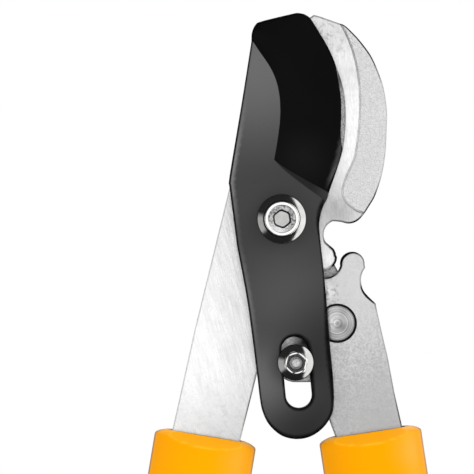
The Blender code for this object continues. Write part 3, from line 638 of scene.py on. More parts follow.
def blasted_steel(
    name, dark, light, roughness, grain=2600.0, strength=0.35, metallic=0.7,
    spots=(), stain=(), depth=ARM_FRONT, **rims,
):
    """Forged or blasted steel: mottled, with a fine grain, painted light and shade in soft patches, and
    painted shade along its rims.
    """
    material, tree, shader, place = finish_of(name)
    grains = use(tree, BLASTED, Vector=place, Grain=grain)
    marks = use(tree, MARKS, Vector=place, Size=60.0)
    tone = blend(tree, grains["Mottle"], grey(dark), grey(light))
    tone = blend(tree, times(tree, marks["Cloud"], 0.18), tone, grey(dark * 0.9))
    # The spots paint light and shade onto the tone.
    tone = patches(tree, place, tone, spots, depth)
    if stain:
        tone = stained(tree, place, tone, grey(dark * 0.5), 0.0, stain, depth)
    rim_shaded(tree, shader, place, tone, metallic, 0.5, depth, **rims)
    feed(shader, Roughness=spread(tree, grains["Mottle"], 0.0, 1.0, roughness + 0.07, roughness - 0.05))
    bump(shader, grains["Height"], strength, 0.00012)
    return material


def brushed_steel(
    name, dark, light, roughness, angles, fine=2500.0, long=60.0, strength=0.3,
    stain=(), painted_shading=(), depth=ARM_FRONT, **rims,
):
    """Steel with strokes at an angle in degrees, at another one in places, with small dull stains, painted
    shade in soft patches and painted shade along its rims.
    """
    material, tree, shader, place = finish_of(name)
    streak = None
    for angle, where in angles:
        grains = use(tree, BRUSHED, Vector=place, Angle=math.radians(angle), Fine=fine, Long=long)
        both = plus(tree, times(tree, grains["Streak"], 0.85), times(tree, grains["Band"], 0.15))
        streak = blend(tree, varied(tree, place, 0.0, where, depth), streak, both) if where else both
    marks = use(tree, MARKS, Vector=place, Size=35.0)
    tone = blend(tree, spread(tree, streak, 0.36, 0.64), grey(dark), grey(light))
    tone = blend(tree, times(tree, marks["Cloud"], 0.12), tone, grey(dark * 0.85))
    tone = stained(tree, place, tone, grey(dark * 0.5), 0.12, stain, depth)
    rim_shaded(tree, shader, place, shaded(tree, place, tone, painted_shading, depth), 0.5, 0.5, depth, **rims)
    feed(shader, Roughness=spread(tree, streak, 0.3, 0.7, roughness + 0.08, roughness - 0.06))
    bump(shader, streak, strength, 0.00008)
    return material


def lathed_steel(name, centre, dark, light, roughness, rings, strength=0.35, painted_shading=()):
    """Steel faced on a lathe: fine rings about a centre given in millimetres from the main pivot, with a
    painted highlight and painted shade in soft patches.
    """
    material, tree, shader, place = finish_of(name, Metallic=1.0)
    middle = Vector(MAIN_PIVOT) + Vector((centre[0], 0, centre[1])) * MM
    x, _, z = split(tree, add(tree, "Mapping", {0: place, 1: -middle}).outputs[0])
    radius = add(tree, "VectorMath", {0: combine(tree, x, 0.0, z)}, operation="LENGTH").outputs["Value"]
    groove = noise(tree, combine(tree, radius), rings, 2.0, 0.7)
    fan = noise(tree, combine(tree, times(tree, calc(tree, "ARCTAN2", z, x), 0.5)), 1.0, 1.0)
    tone = spread(tree, plus(tree, times(tree, groove, 0.65), times(tree, fan, 0.35)), 0.36, 0.64)
    tone = shaded(tree, place, blend(tree, tone, grey(dark), grey(light)), painted_shading, ARM_FRONT)
    rough = spread(tree, groove, 0.3, 0.7, roughness + 0.08, roughness - 0.05)
    feed(shader, Base_Color=tone, Roughness=rough)
    bump(shader, groove, strength, 0.0001)
    return material


def plated_steel(name, tint, roughness):
    """Bright zinc plate: a slight haze and small clouds."""
    material, tree, shader, place = finish_of(name, Metallic=1.0)
    cloud = use(tree, MARKS, Vector=place, Size=260.0)["Cloud"]
    low = tuple(c * 0.82 for c in tint[:3]) + (1.0,)
    rough = spread(tree, cloud, 0.0, 1.0, roughness + 0.06, roughness - 0.03)
    feed(shader, Base_Color=blend(tree, cloud, low, tint), Roughness=rough)
    bump(shader, use(tree, MOULDED, Vector=place, Grain=1800.0)["Height"], 0.12, 0.00005)
    return material


def moulded_plastic(
    name, deep, fresh, roughness, grain=900.0, strength=0.15, sheen=0.5, side_sheen=None, glints=()
):
    """Moulded plastic: a faint skin, a tone that shifts with the flow, and glossier seen from the side. With
    a side sheen it also has a painted highlight where its edge attribute is marked, and a painted dark
    outline where it turns away from the view.
    """
    material, tree, shader, place = finish_of(name, Specular_IOR_Level=sheen)
    skin = use(tree, MOULDED, Vector=place, Grain=grain)
    tone = blend(tree, skin["Tone"], deep, fresh)
    if side_sheen is not None:
        facing = add(tree, "LayerWeight", {"Blend": 0.5}).outputs["Facing"]
        gloss = spread(tree, facing, 0.03, 0.16, sheen, side_sheen)
        feed(shader, Specular_IOR_Level=patches(tree, place, gloss, glints, COLLAR_FRONT))
        # The edge attribute marks a painted highlight on the collar's crease, lens and mouth.
        crease = add(tree, "Attribute", attribute_name="edge").outputs["Fac"]
        tone = blend(tree, times(tree, crease, 0.6), tone, (1.0, 0.52, 0.03, 1.0))
        # A painted dark outline, darker where the surface turns away from the view.
        outline = calc(tree, "SUBTRACT", spread(tree, facing, 0.58, 0.8, 0.0, 0.8), crease)
        tone = blend(tree, outline, tone, (0.08, 0.04, 0.01, 1.0))
        path = add(tree, "LightPath").outputs
        bounced = calc(tree, "MAXIMUM", path["Is Diffuse Ray"], path["Is Glossy Ray"])
        tone = blend(tree, times(tree, bounced, 0.85), tone, grey(0.45))
    cloud = use(tree, MARKS, Vector=place, Size=45.0)["Cloud"]
    feed(shader, Base_Color=tone, Roughness=spread(tree, cloud, 0.0, 1.0, roughness - 0.03, roughness + 0.07))
    bump(shader, skin["Height"], strength, 0.00006)
    return material


def soft_rubber(name, deep, fresh):
    """Soft rubber: matt, finely pebbled, a little dusty in soft clouds."""
    material, tree, shader, place = finish_of(
        name, Specular_IOR_Level=0.35, Sheen_Weight=0.12, Sheen_Roughness=0.5
    )
    cloud = use(tree, MARKS, Vector=place, Size=30.0)["Cloud"]
    tone = blend(tree, times(tree, cloud, 0.8), grey(deep), grey(fresh))
    feed(shader, Base_Color=tone, Roughness=spread(tree, cloud, 0.0, 1.0, 0.62, 0.74))
    cells = add(tree, "TexVoronoi", {"Vector": place, "Scale": 1500.0}).outputs["Distance"]
    bump(shader, cells, 0.45, 0.00012)
    return material


# Painted light and shade on the blade: the lighter spots are painted sheen, the darker ones painted shade,
# and those at the pivot and the slide bolt a painted shadow round the washers. Widths widen the painted dark
# rim in places, and painted highlights light a strip inside the left rim.
BLACK = coated_black(
    "satin_black_coating", 0.020, 0.030, 0.34, 0.4,
    spots=[(-9, 56, 44, 0.108), (-5, -61, 24, 0.108), (2, -30, 28, 0.052), (18, -48, 30, 0.010)]
    + [(8, -84, 32, 0.007), (*PIVOT, 15, 0.002), (*SLIDE_BOLT, 12, 0.002)],
    sheens=[(12, -76, 34, 0.24), (18, -44, 30, 0.30), (2, 26, 26, 0.34)],
    line=1.0, width=0.8, widths=[(20, -50, 34, 2.3), (17, 4, 14, 2.3), (5, -84, 22, 2.1)],
    rubs=[(-24, 20, 34, 1.0), (-24, -30, 32, 0.7)],
)
# A lighter spot of painted sheen, and painted highlights on strips by the cutting edge.
GROUND_BLACK = coated_black(
    "ground_black_coating", 0.0015, 0.003, 0.30, 0.04, 2200.0, spots=[(8, 22, 15, 0.006)],
    width=1.2, widths=[(21, 21, 14, 0.2)], rubs=[(21.5, 26, 7, 0.5), (19.5, 17.5, 9, 0.5)],
)
# A lighter spot of painted sheen.
RUNOUT_BLACK = coated_black(
    "runout_black_coating", 0.007, 0.011, 0.34, 0.15, 2200.0, spots=[(17.5, 11, 7, 0.032)], line=0.0
)
# A darker spot near its top: painted shade.
HONED = blasted_steel("honed_edge", 0.12, 0.50, 0.36, 2600.0, 0.5, line=0.2, spots=[(22, 52, 6, 0.05)])
# Painted shade darkens the strip in soft patches, most at its top and at the boss; lines and widths deepen
# its painted dark rim.
STRIP = brushed_steel(
    "ground_hook_strip", 0.82, 1.0, 0.34, [(-84.0, ())], 2000.0, 260.0, 0.15,
    stain=[(16, 68, 15, 0.8), (20, 6, 16, 0.2)],
    painted_shading=[(18, 64, 26, 0.74), (19, 58, 13, 0.76), (24, 60, 9, 0.93), (22.5, 16, 8, 0.86)]
    + [(21, 3, 17, 0.53)],
    line=0.6, lines=[(18, -14, 10, 1.4), (28, -3, 8, 1.6), (15.5, -19.5, 5, 0.0)],
    widths=[(18, -14, 10, 1.3), (28, -3, 8, 0.9)],
)
# Lines deepen its painted dark rim at the top and at the bottom.
CRESCENT = blasted_steel(
    "blasted_hook_crescent", 0.67, 0.93, 0.5, 2100.0, 0.35,
    line=0.4, lines=[(30, 66, 24, 1.6), (34, 4, 14, 1.4)],
)
# Spots paint light on its upper part and beside the pin, shade on its lower part, and a painted shadow where
# it shows through the top of the slot; lines and widths deepen its painted dark rim.
GEAR_STEEL = blasted_steel(
    "gear_arm_steel", 0.54, 0.80, 0.46, 1500.0, 0.3,
    spots=[(26, -24, 34, 0.74), (17, -27, 5, 0.98), (38, -76, 44, 0.54), (8.3, -45.7, 6, 0.02)],
    stain=[(17, -28, 10, 0.9)], line=0.5,
    lines=[(24, -14, 11, 1.6), (32, -28, 7, 1.8), (44, -74, 18, 1.0), (15, -74, 9, 0.0), (17, -22, 5, 1.6)],
    widths=[(22, -13, 9, 1.2), (32, -28, 7, 1.1)],
)
# Painted shade darkens it towards the bottom; its line deepens the painted dark rim in one place.
BAR_STEEL = brushed_steel(
    "left_bar_steel", 0.85, 1.0, 0.29, [(-74.0, ()), (-52.0, [(-24, -90, 40, 1.0)])], 2000.0, 120.0, 0.25,
    stain=[(-20, -90, 40, 0.25)], painted_shading=[(-20, -94, 44, 0.68)], depth=BAR_FRONT,
    line=0.0, lines=[(-11, -70, 16, 0.6)],
)
PLAIN_STEEL = blasted_steel("plain_steel", 0.42, 0.62, 0.42, 1700.0, 0.25)
# Shares above one are a painted highlight, and those below one painted shade.
PIN_STEEL = lathed_steel(
    "gear_pin_steel", GEAR_PIVOT, 0.22, 0.74, 0.3, 1500.0,
    painted_shading=[(18.4, -36.4, 5.0, 1.25), (22.2, -39.8, 3.4, 0.40), (20.7, -38.7, 1.4, 0.5)]
    + [(25.8, -35.4, 4.5, 1.4), (22.0, -44.8, 4.5, 1.35), (20.0, -33.2, 3.5, 1.25)],
)
ZINC = plated_steel("bright_zinc", (0.50, 0.50, 0.49, 1.0), 0.12)
POLISHED_ZINC = plated_steel("polished_zinc", (0.97, 0.97, 0.96, 1.0), 0.16)
# Dark zinc: painted shade in the slide nut's hollow middle.
SHADED_ZINC = plated_steel("shaded_zinc", (0.07, 0.07, 0.07, 1.0), 0.22)
BOLT_END = blasted_steel("sawn_bolt_end", 0.42, 0.74, 0.4, 1900.0, 0.2, line=0.0)
# Painted shadow in the main washer's groove by the bolt head and round the rims of both front washers.
SHADOW_GAP = coated_black("painted_shadow_gap", 0.004, 0.009, 0.5, 0.1, line=0.0)
# Its spot is a painted highlight on the bolt head's rough ring.
DULL_ZINC = blasted_steel(
    "dull_zinc", 0.12, 0.66, 0.34, 1500.0, 0.4, 1.0, spots=[(-1.5, -5.2, 6.5, 0.85)], depth=HEAD_FRONT
)
YELLOW = moulded_plastic(
    "yellow_plastic", (0.98, 0.365, 0.0, 1.0), (1.0, 0.395, 0.0, 1.0), 0.34, sheen=0.03, side_sheen=0.06,
    glints=[(-14, -91, 13, 0.45), (-17, -109, 13, 0.45), (-20, -127, 13, 0.45)]
    + [(49, -85, 14, 0.6), (52, -102, 14, 0.6), (54, -120, 14, 0.6)],
)
# Dark plastic for the handle cores, and painted shade on the bolt's socket wall and in the gear pin's recess.
DARK_PLASTIC_AND_SHADE = moulded_plastic("dark_plastic", grey(0.012), grey(0.022), 0.5)
LACQUER = moulded_plastic("black_lacquer", grey(0.008), grey(0.014), 0.2, 420.0, 0.1, 0.6)
RUBBER = soft_rubber("soft_rubber", 0.012, 0.026)
PAD_RUBBER = soft_rubber("pad_rubber", 0.020, 0.034)

# The cutting blade, from its outline in runs round it from the top of its cutting edge

cutting_edge = through(
    [(8.3, 75.9), (10.6, 74.3), (13.9, 69.2), (17.8, 62.4), (20.9, 54.8), (22.9, 48.1), (23.7, 41.5)]
    + [(23.7, 34.0), (22.9, 27.0), (21.6, 21.8), (19.8, 16.3), (17.8, 10.6), (17.0, 7.8)]
)
blade_tail = through(
    [(17.0, 7.8), (15.5, 5.0), (14.4, 1.6), (13.9, -2.2), (14.3, -7.8), (15.7, -20.7), (16.8, -33.3)]
    + [(17.8, -46.0), (19.0, -58.8), (19.3, -67.3), (18.5, -72.2), (15.4, -77.0), (10.7, -80.3), (5.2, -81.3)]
    + [(-0.2, -79.9), (-4.7, -75.9), (-7.1, -71.0), (-8.1, -66.0), (-9.3, -55.9), (-12.6, -31.1)]
    + [(-16.5, -10.0)]
) + [(-16.5, -10.0)]
blade_back_edge = through([(-19.4, 12.3), (-19.5, 14.0), (-18.3, 21.8), (-14.7, 43.3), (-11.2, 65.5)])
blade_top = through(
    [(-11.2, 65.5), (-11.0, 68.8), (-9.6, 71.9), (-7.0, 73.2), (3.8, 75.9), (6.1, 76.25), (8.3, 75.9)]
)
slot_angle = math.degrees(math.atan2(SLIDE_BOLT[1], SLIDE_BOLT[0]))
slot = []
for end, first, last in ((SLOT_START, 270, 90), (SLOT_END, 90, -90)):
    middle = polar(PIVOT, end, slot_angle)
    slot += arc(middle, SLOT_HALF_WIDTH, slot_angle + first, slot_angle + last, 24)

# The ground face leaves the flat face along one curved line, and runs out below along a straighter one
ground_line = curves(
    [(-12.6, 67.2), (-10.7, 65.5), (-8.5, 62.2), (-4.3, 56.0), (-2.0, 50.8), (-0.8, 45.1), (-0.5, 39.6)],
    [(-0.8, 34.8), (-1.7, 28.1), (-2.8, 21.8)],
) + [(-2.8, 21.8)]
runout_line = through([(-2.8, 21.8), (0.9, 18.1), (7.9, 12.6), (13.3, 8.7), (17.5, 5.4)]) + [(17.5, 5.4)]
honed_line = curves(
    [(19.6, 58.2), (20.2, 56.0), (20.6, 53.8), (21.2, 50.2), (21.8, 46.5), (22.1, 42.8)]
    + [(22.1, 37.9), (21.9, 32.9)],
    [(22.0, 29.6), (22.3, 27.2), (22.9, 25.4)],
)
ground_area = ground_line + runout_line[1:] + [(40, 5), (40, 90), (-30, 90), (-30, 67.2)]
honed_area = honed_line + [(40, 25.4), (40, 58.2)]
RUNOUT_SLOPE, HONED_SLOPE = 0.95, 0.22

# Along the rim of the ground face: a place and how deep the face lies there
RIM_DEPTHS = [(-11, 68, 0.4), (-7, 73.2, 1.2), (-1.6, 74.5, 1.8), (3.8, 75.9, 2.4), (8.3, 75.9, 2.8)]
RIM_DEPTHS += [(13.5, 69.2, 3.1), (17.4, 62.4, 3.2), (20.6, 54.8, 3.3), (23, 46, 3.35), (23.7, 37, 3.4)]
RIM_DEPTHS += [(22.9, 27, 3.3), (19.8, 16.3, 3.2)]


def ground_floor(points):
    """The ground face without its run-out: nothing at its line, and deepest at the cutting edge."""
    from_line = distance_to(points, ground_line, closed=False)
    to_top = distance_to(points, blade_top + cutting_edge[:1], closed=False)
    to_edge = distance_to(points, cutting_edge, closed=False)
    to_rim = (np.maximum(to_top, 0.01) ** -3 + np.maximum(to_edge, 0.01) ** -3) ** (-1 / 3)
    weights = [((points[:, 0] - x) ** 2 + (points[:, 1] - z) ** 2 + 9.0) ** -1.5 for x, z, _ in RIM_DEPTHS]
    at_rim = sum(w * spot[2] for w, spot in zip(weights, RIM_DEPTHS)) / sum(weights)
    return at_rim * (from_line / np.maximum(from_line + to_rim, 1e-6)) ** 0.92


def runout_edge():
    """Where the run-out's slope meets the ground face."""
    line = np.array(even(runout_line, 1.0, closed=False))
    side = sideways(np.gradient(line, axis=0))
    side *= np.sign(side[:, 1])[:, None]
    out = np.full(len(line), 0.5)
    for _ in range(20):
        out = ground_floor(line + side * out[:, None]) / RUNOUT_SLOPE
    return [tuple(point) for point in line + side * out[:, None]]


def ground_depth(points):
    """How deep the blade's front lies: the ground face, its run-out and the honed sliver."""
    runout = RUNOUT_SLOPE * distance_to(points, runout_line, closed=False)
    beyond = HONED_SLOPE * distance_to(points, honed_line, closed=False)
    depth = np.minimum(ground_floor(points), runout) + np.where(within(points, honed_area), beyond, 0)
    return np.where(within(points, ground_area), depth, 0)


def blade_region(points):
    found = np.where(within(points, ground_area), 1, 0)
    runout = RUNOUT_SLOPE * distance_to(points, runout_line, closed=False)
    found[(found == 1) & (runout < ground_floor(points))] = 2
    found[within(points, honed_area)] = 3
    return found


plate(
    "coated_blade", cutting_edge + blade_tail + blade_back_edge + blade_top,
    [circle(PIVOT, PIVOT_BORE), slot],
    BLADE_FRONT, BLADE_BACK, [BLACK, GROUND_BLACK, RUNOUT_BLACK, HONED], "blade", ["cutting_blade"],
    relief=ground_depth, region=blade_region, creases=[ground_line, runout_line, runout_edge(), honed_line],
    rim=0.8, spacing=1.3, sharp=30.0,
)

# The hook with its gear and tang

lobe = polar(PIVOT, 21.3, -41.7)
lobe_neck = (lobe[0] - 0.35, lobe[1] + 0.35)
valley = polar(PIVOT, 21.7, -15.4)
hook_outline = (
    curves(
        [(11.2, 75.2), (12.9, 75.5), (21.4, 72.6)],
        [(23.3, 71.9), (26.0, 69.5), (29.3, 65.9), (33.1, 60.7), (35.8, 54.8), (37.9, 48.5), (39.1, 40.3)]
        + [(39.0, 33.0), (38.5, 24.0), (37.1, 15.8), (34.7, 8.6), (32.6, 4.9), (30.4, 1.6), (28.0, -0.8)]
        + [(25.1, -1.7), (22.0, -1.1), (19.2, -0.8)],
    )
    + arc(valley, 5.28, 112, 212, 24)
    + arc(lobe_neck, 4.7, 38, 6, 8)
    + arc(lobe, 4.7, 0, -175, 40)
    + curves(
        [(10.9, -15.2), (9.6, -14.2), (7.5, -13.8), (4.5, -14.2), (1.8, -15.6), (-0.5, -19.5), (-0.9, -28.0)],
        [(-1.3, -35.0), (-3.2, -42.5), (-6.0, -45.3), (-9.2, -43.8), (-11.0, -37.0)],
        [(-12.0, -31.5), (-14.0, -17.0), (-15.4, -5.0), (-14.8, 4.0), (-11.5, 10.5)],
        [(-6.0, 13.4), (1.3, 13.3), (6.6, 14.6), (11.2, 18.1), (14.6, 24.6), (16.3, 32.9)],
        [(16.6, 42.2), (15.8, 50.7), (14.1, 58.8), (11.9, 66.2), (9.2, 73.2), (11.2, 75.2)],
    )
)
crescent_line = curves(
    [(21.2, 73.5), (21.4, 72.5), (23.2, 69.6), (25.8, 63.4), (27.7, 56.2), (28.7, 48.5), (28.9, 41.0)],
    [(28.4, 33.0), (26.9, 23.0), (23.7, 15.5), (22.4, 10.6), (23.1, 7.3), (25.0, 4.9)],
    [(27.3, 3.2), (29.7, 2.2), (32.0, 1.6)],
)
crescent_area = crescent_line + [(45, 2), (45, 80), (21.2, 80)]
CRESCENT_DEPTH, GROOVE_DEPTH = 0.4, 0.3


def crescent_depth(points):
    """The outer crescent lies a little deeper, behind a narrow groove."""
    away = distance_to(points, crescent_line, closed=False)
    step = np.clip(away / 0.3, 0, 1)
    groove = GROOVE_DEPTH * np.exp(-((away - 0.25) ** 2) / 0.06)
    return np.where(within(points, crescent_area), CRESCENT_DEPTH * step * (3 - 2 * step) + groove * step, 0)


plate(
    "forged_hook", hook_outline, [circle(PIVOT, PIVOT_BORE)],
    ARM_FRONT, ARM_BACK, [STRIP, CRESCENT], "hook_arm", ["hook_blade"],
    relief=crescent_depth, region=lambda points: np.where(within(points, crescent_area), 1, 0),
    creases=[crescent_line] + [shifted(crescent_line, offset) for offset in (0.15, 0.35, 0.6)],
    grooves=[crescent_line], rim=0.75, back_look=1,
)


# The left bar and the gear arm


def tongue(arm, side, half_width=BAR_HALF_WIDTH):
    """One side of a bar from its collar's mouth to the narrower tongue's end inside the handle."""
    wide = [along(arm, 0, side * half_width), along(arm, TONGUE_START - 1.5, side * half_width)]
    return wide + [along(arm, distance, side * TONGUE_HALF_WIDTH) for distance in (TONGUE_START, TONGUE_END)]


def rivet_holes(arm):
    return [circle(along(arm, distance), RIVET_BORE, 32) for distance in RIVETS_ALONG]


left_bar_outline = (
    tongue(LEFT, 1)[::-1]
    + [(-32.3, -41.1), (-19.5, 11.1)]
    + through([(-18.5, 15.2), (-15.6, 18.2), (-9.0, 18.6), (-3.0, 15.5)])
    + arc(PIVOT, 13.0, 80, -40, 40)
    + through([(5.6, -14.5), (1.6, -24.0), (-1.8, -36.0), (-5.6, -48.0), (-9.1, -58.1)])
    + [(-9.1, -58.1)]
    + tongue(LEFT, -1)
)
plate(
    "brushed_left_bar", left_bar_outline, [circle(PIVOT, PIVOT_BORE), *rivet_holes(LEFT)],
    BAR_FRONT, BAR_BACK, [BAR_STEEL], "hook_arm", ["left_arm_bar"], rim=0.6, spacing=2.4,
)

socket = polar(GEAR_PIVOT, 22.8, 100.55)
knob = polar(GEAR_PIVOT, 22.7, 75.6)
lip = polar(GEAR_PIVOT, 21.5, 129.6)
gear_outline = (
    arc(socket, 5.46, -172, -6, 44)
    + arc(knob, 4.53, 186, -5, 40)
    + through(
        [(31.0, -18.1), (30.1, -19.6), (29.5, -21.8), (29.6, -24.1), (30.3, -26.3), (31.9, -28.4)]
        + [(34.9, -31.3)]
    )
    + [(34.9, -31.3), (35.6, -34.8), (37.5, -43.3), (39.4, -51.2), (41.8, -64.0)]
    + tongue(RIGHT, 1, BAR_HALF_WIDTH - 0.6)
    + tongue(RIGHT, -1)[::-1]
    + [(17.6, -74.4), (14.2, -62.0), (12.6, -60.5)]
    + arc(SLIDE_BOLT, 7.6, -90, -205, 28)
    + [(1.3, -31.8), (3.1, -25.3)]
    + arc(lip, 3.1, 180, 48, 24)
)
RECESS_RADIUS, RECESS_DEPTH = 7.26, 3.3


def from_pin(points):
    return np.hypot(*(points - np.array(GEAR_PIVOT)).T)


plate(
    "geared_right_bar", gear_outline,
    [circle(GEAR_PIVOT, GEAR_BORE, 48), circle(SLIDE_BOLT, SLIDE_BORE, 32), *rivet_holes(RIGHT)],
    ARM_FRONT, ARM_BACK, [GEAR_STEEL, DARK_PLASTIC_AND_SHADE], "right_arm", ["gear_arm"],
    relief=lambda points: np.where(from_pin(points) < RECESS_RADIUS, RECESS_DEPTH, 0.0),
    # The recess round the pin is painted dark as its shade.
    region=lambda points: np.where(from_pin(points) < 7.3, 1, 0),
    creases=[circle(GEAR_PIVOT, radius, 96) + [polar(GEAR_PIVOT, radius, 0)] for radius in (7.3, 7.2)],
    rim=0.7, spacing=1.8,
)

# The link plate and its spacer

link_angle = math.degrees(math.atan2(GEAR_PIVOT[1], GEAR_PIVOT[0]))
link_end = arc(GEAR_PIVOT, LINK_HALF_WIDTH, link_angle - 90, link_angle + 90, 48)


def beside_link(distance, offset):
    return polar(polar(PIVOT, distance, link_angle), offset, link_angle + 90)


plate(
    "link_side_plate", arc(PIVOT, LINK_HALF_WIDTH, link_angle + 90, link_angle + 270, 48) + link_end,
    [circle(PIVOT, PIVOT_BORE), circle(GEAR_PIVOT, GEAR_BORE, 48)],
    LINK_FRONT, LINK_BACK, [BAR_STEEL], "link", ["link_plate"], rim=0.4,
)
plate(
    "link_spacer_plate",
    [beside_link(math.sqrt(BOSS_CLEARANCE**2 - LINK_HALF_WIDTH**2), LINK_HALF_WIDTH)]
    + arc(PIVOT, BOSS_CLEARANCE, link_angle + 42, link_angle + 23, 12)
    + [beside_link(16.0, -1.6), beside_link(22.5, -LINK_HALF_WIDTH)]
    + link_end,
    [circle(GEAR_PIVOT, GEAR_BORE, 48)],
    BAR_FRONT, BAR_BACK, [PLAIN_STEEL], "link", ["gear_pivot_spacer"], rim=0.25, spacing=2.0,
)


# Bolts, nuts, washers and pins

FINE = 96


def from_face(face, *spots):
    """Points of a profile, radius and depth, with their depths counted from a face."""
    return [(radius, face + depth) for radius, depth in spots]


def screw_end(centre, radius, start, end, pitch, steps=48):
    """The threaded end of a bolt: one thread wound round it, with a chamfered tip."""
    rows = max(6, int(abs(end - start) / pitch * 10))
    way = 1 if end > start else -1

    def ring(share):
        y = start + (end - start) * share
        tip = max(0.0, share - 0.8) / 0.2 * 0.55

        def corner(turn):
            wave = abs(((y - start) * way / pitch - turn / (2 * math.pi)) % 1 * 2 - 1)
            return around(centre, radius - 0.5 * wave * min(1.0, share * 8) - tip, turn, y)

        return ring_of(steps, corner)

    return stack([ring(row / rows) for row in range(rows + 1)])


def hex_nut(centre, bore, half_width, near, far, recess=0.0, start=0.3):
    """A hexagon nut whose corners are turned off to a cone on both faces, open through its middle."""
    middle, height = (near + far) / 2, abs(far - near) / 2
    way = 1 if near > far else -1
    cone = half_width * 0.96

    def ring(share, side):
        def corner(turn):
            reach = bore + (hexagon(half_width, turn, start) - bore) * share
            drop = max(0.0, reach - cone) * 0.55
            return around(centre, reach, turn, middle + way * side * (height - drop))

        return ring_of(FINE, corner)

    shares = [0.0, 0.25, 0.47, 0.52, 0.75, 0.88, 0.95, 1.0]
    rings = [ring(share, 1) for share in shares]
    near_rim, far_rim = np.array(ring(1, 1)), np.array(ring(1, -1))
    rings += [[tuple(spot) for spot in near_rim * (1 - k / 5) + far_rim * k / 5] for k in range(1, 5)]
    rings += [ring(share, -1) for share in reversed(shares)]
    rings[:3] = [[(x, y - way * recess, z) for x, y, z in inner] for inner in rings[:3]]
    return stack(rings, closed=True)


def washer(centre, inner, outer, front, back, rim=0.3):
    profile = from_face(front, (inner, rim / 2), (inner + rim / 2, 0), (outer - rim, 0))
    profile += from_face(front, (outer - rim * 0.3, rim * 0.3), (outer, rim))
    profile += from_face(back, (outer, -rim), (outer - rim * 0.3, -rim * 0.3), (outer - rim, 0), (inner, 0))
    return turned(profile, centre, closed=True)


def by_row(shape, count, *rows_of_looks):
    """The look of each face of a turned shape: rows that take its second look, then those of its third."""
    found = [0] * len(shape[1])
    for look, rows in enumerate(rows_of_looks, 1):
        for row in rows:
            found[row * count : (row + 1) * count] = [look] * count
    return found


SOCKET_TURN = 0.68
SOCKET_ROWS = (2, 3, 4)
head_profile = (
    from_face(HEAD_FRONT + 2.9, (0.6, 0.3), (1.6, 0.1), (2.6, 0))
    + from_face(HEAD_FRONT, (2.7, 1.7), (3.25, 0.4), (5.0, 0.3), (5.15, 0.05), (5.35, 0))
    + from_face(HEAD_FRONT, (5.9, 0.03), (6.3, 0.08), (6.44, 0.2), (6.5, 0.5))
    + from_face(HEAD_BACK, (6.5, -0.5), (6.3, -0.12), (6.0, 0), (4.0, 0))
    + [(4.0, 14.0)]
)


def socket_reach(place, radius, turn):
    """The socket's wall and mouth are hexagons, and all else is round."""
    return min(hexagon(radius, turn, SOCKET_TURN), 1.07 * radius) if place in SOCKET_ROWS else radius


def head_region(shape):
    """The rounded rim is polished, the ring inside it is rough, and the socket's wall is painted dark as
    shade.
    """
    found = []
    for face in shape[1]:
        x, y, z = np.mean([shape[0][k] for k in face], axis=0)
        radius, depth = math.hypot(x, z), y - HEAD_FRONT
        rough = 3.8 < radius < 5.05 and depth < 0.4
        wall = 2.5 < radius < 3.7 and depth < 2.5
        found.append(1 if rough else 3 if wall else 2 if radius > 5.05 and depth < 0.3 else 0)
    return found


bolt = joined(
    turned(head_profile, PIVOT, FINE, reach_at=socket_reach),
    screw_end(PIVOT, 4.0, 13.6, 15.9, 1.25),
)
make_piece(
    "main_socket_bolt", bolt, [ZINC, DULL_ZINC, POLISHED_ZINC, DARK_PLASTIC_AND_SHADE], "hook_arm", ["main_pivot_bolt"],
    regions=head_region(bolt), sharp=40.0,
)
dish = from_face(WASHER_FRONT, (4.3, 0.2), (4.5, 0), (6.0, 0), (6.2, 0.45), (6.6, 0.5), (6.85, 0.2))
dish += from_face(WASHER_FRONT, (7.3, 0.36), (7.8, 0.6), (8.3, 0.88), (8.75, 1.16), (8.95, 1.32), (9.1, 1.6))
dish = turned(dish + [(9.05, WASHER_BACK), (4.3, WASHER_BACK)], PIVOT, FINE, closed=True)
# The groove by the head and the outer rim take the painted shadow.
make_piece(
    "main_front_washer", dish, [ZINC, SHADOW_GAP], "hook_arm", ["main_pivot_washer"],
    regions=by_row(dish, FINE, (2, 3, 4, 10, 11)), sharp=50.0,
)
back_washer = washer(PIVOT, 4.3, 8.0, LINK_BACK + FIT, LINK_BACK + 1.9)
make_piece("main_back_washer", back_washer, [ZINC], "hook_arm", ["main_pivot_back_washer"])
main_nut = hex_nut(PIVOT, 4.1, 6.5, LINK_BACK + 2.2, LINK_BACK + 8.7)
make_piece("main_lock_nut", main_nut, [ZINC], "hook_arm", ["main_pivot_nut"])

slide_washer_back = BLADE_FRONT - 0.35
slide_washer_front = slide_washer_back - 1.9
slide_nut_back = slide_washer_front - FIT
slide_nut_front = slide_nut_back - 4.0
dome = from_face(slide_washer_front, (2.8, 0.1), (3.0, 0), (4.0, 0.05), (4.4, 0.2), (5.0, 0.46), (5.5, 0.72))
dome += from_face(slide_washer_front, (6.0, 1.02), (6.5, 1.38), (6.7, 1.6))
dome = turned(dome + [(6.65, slide_washer_back), (2.8, slide_washer_back)], SLIDE_BOLT, 72, closed=True)
# Its outer rim takes the painted shadow.
make_piece(
    "domed_slide_washer", dome, [ZINC, SHADOW_GAP], "right_arm", ["slide_washer"],
    regions=by_row(dome, 72, (7, 8)), sharp=50.0,
)
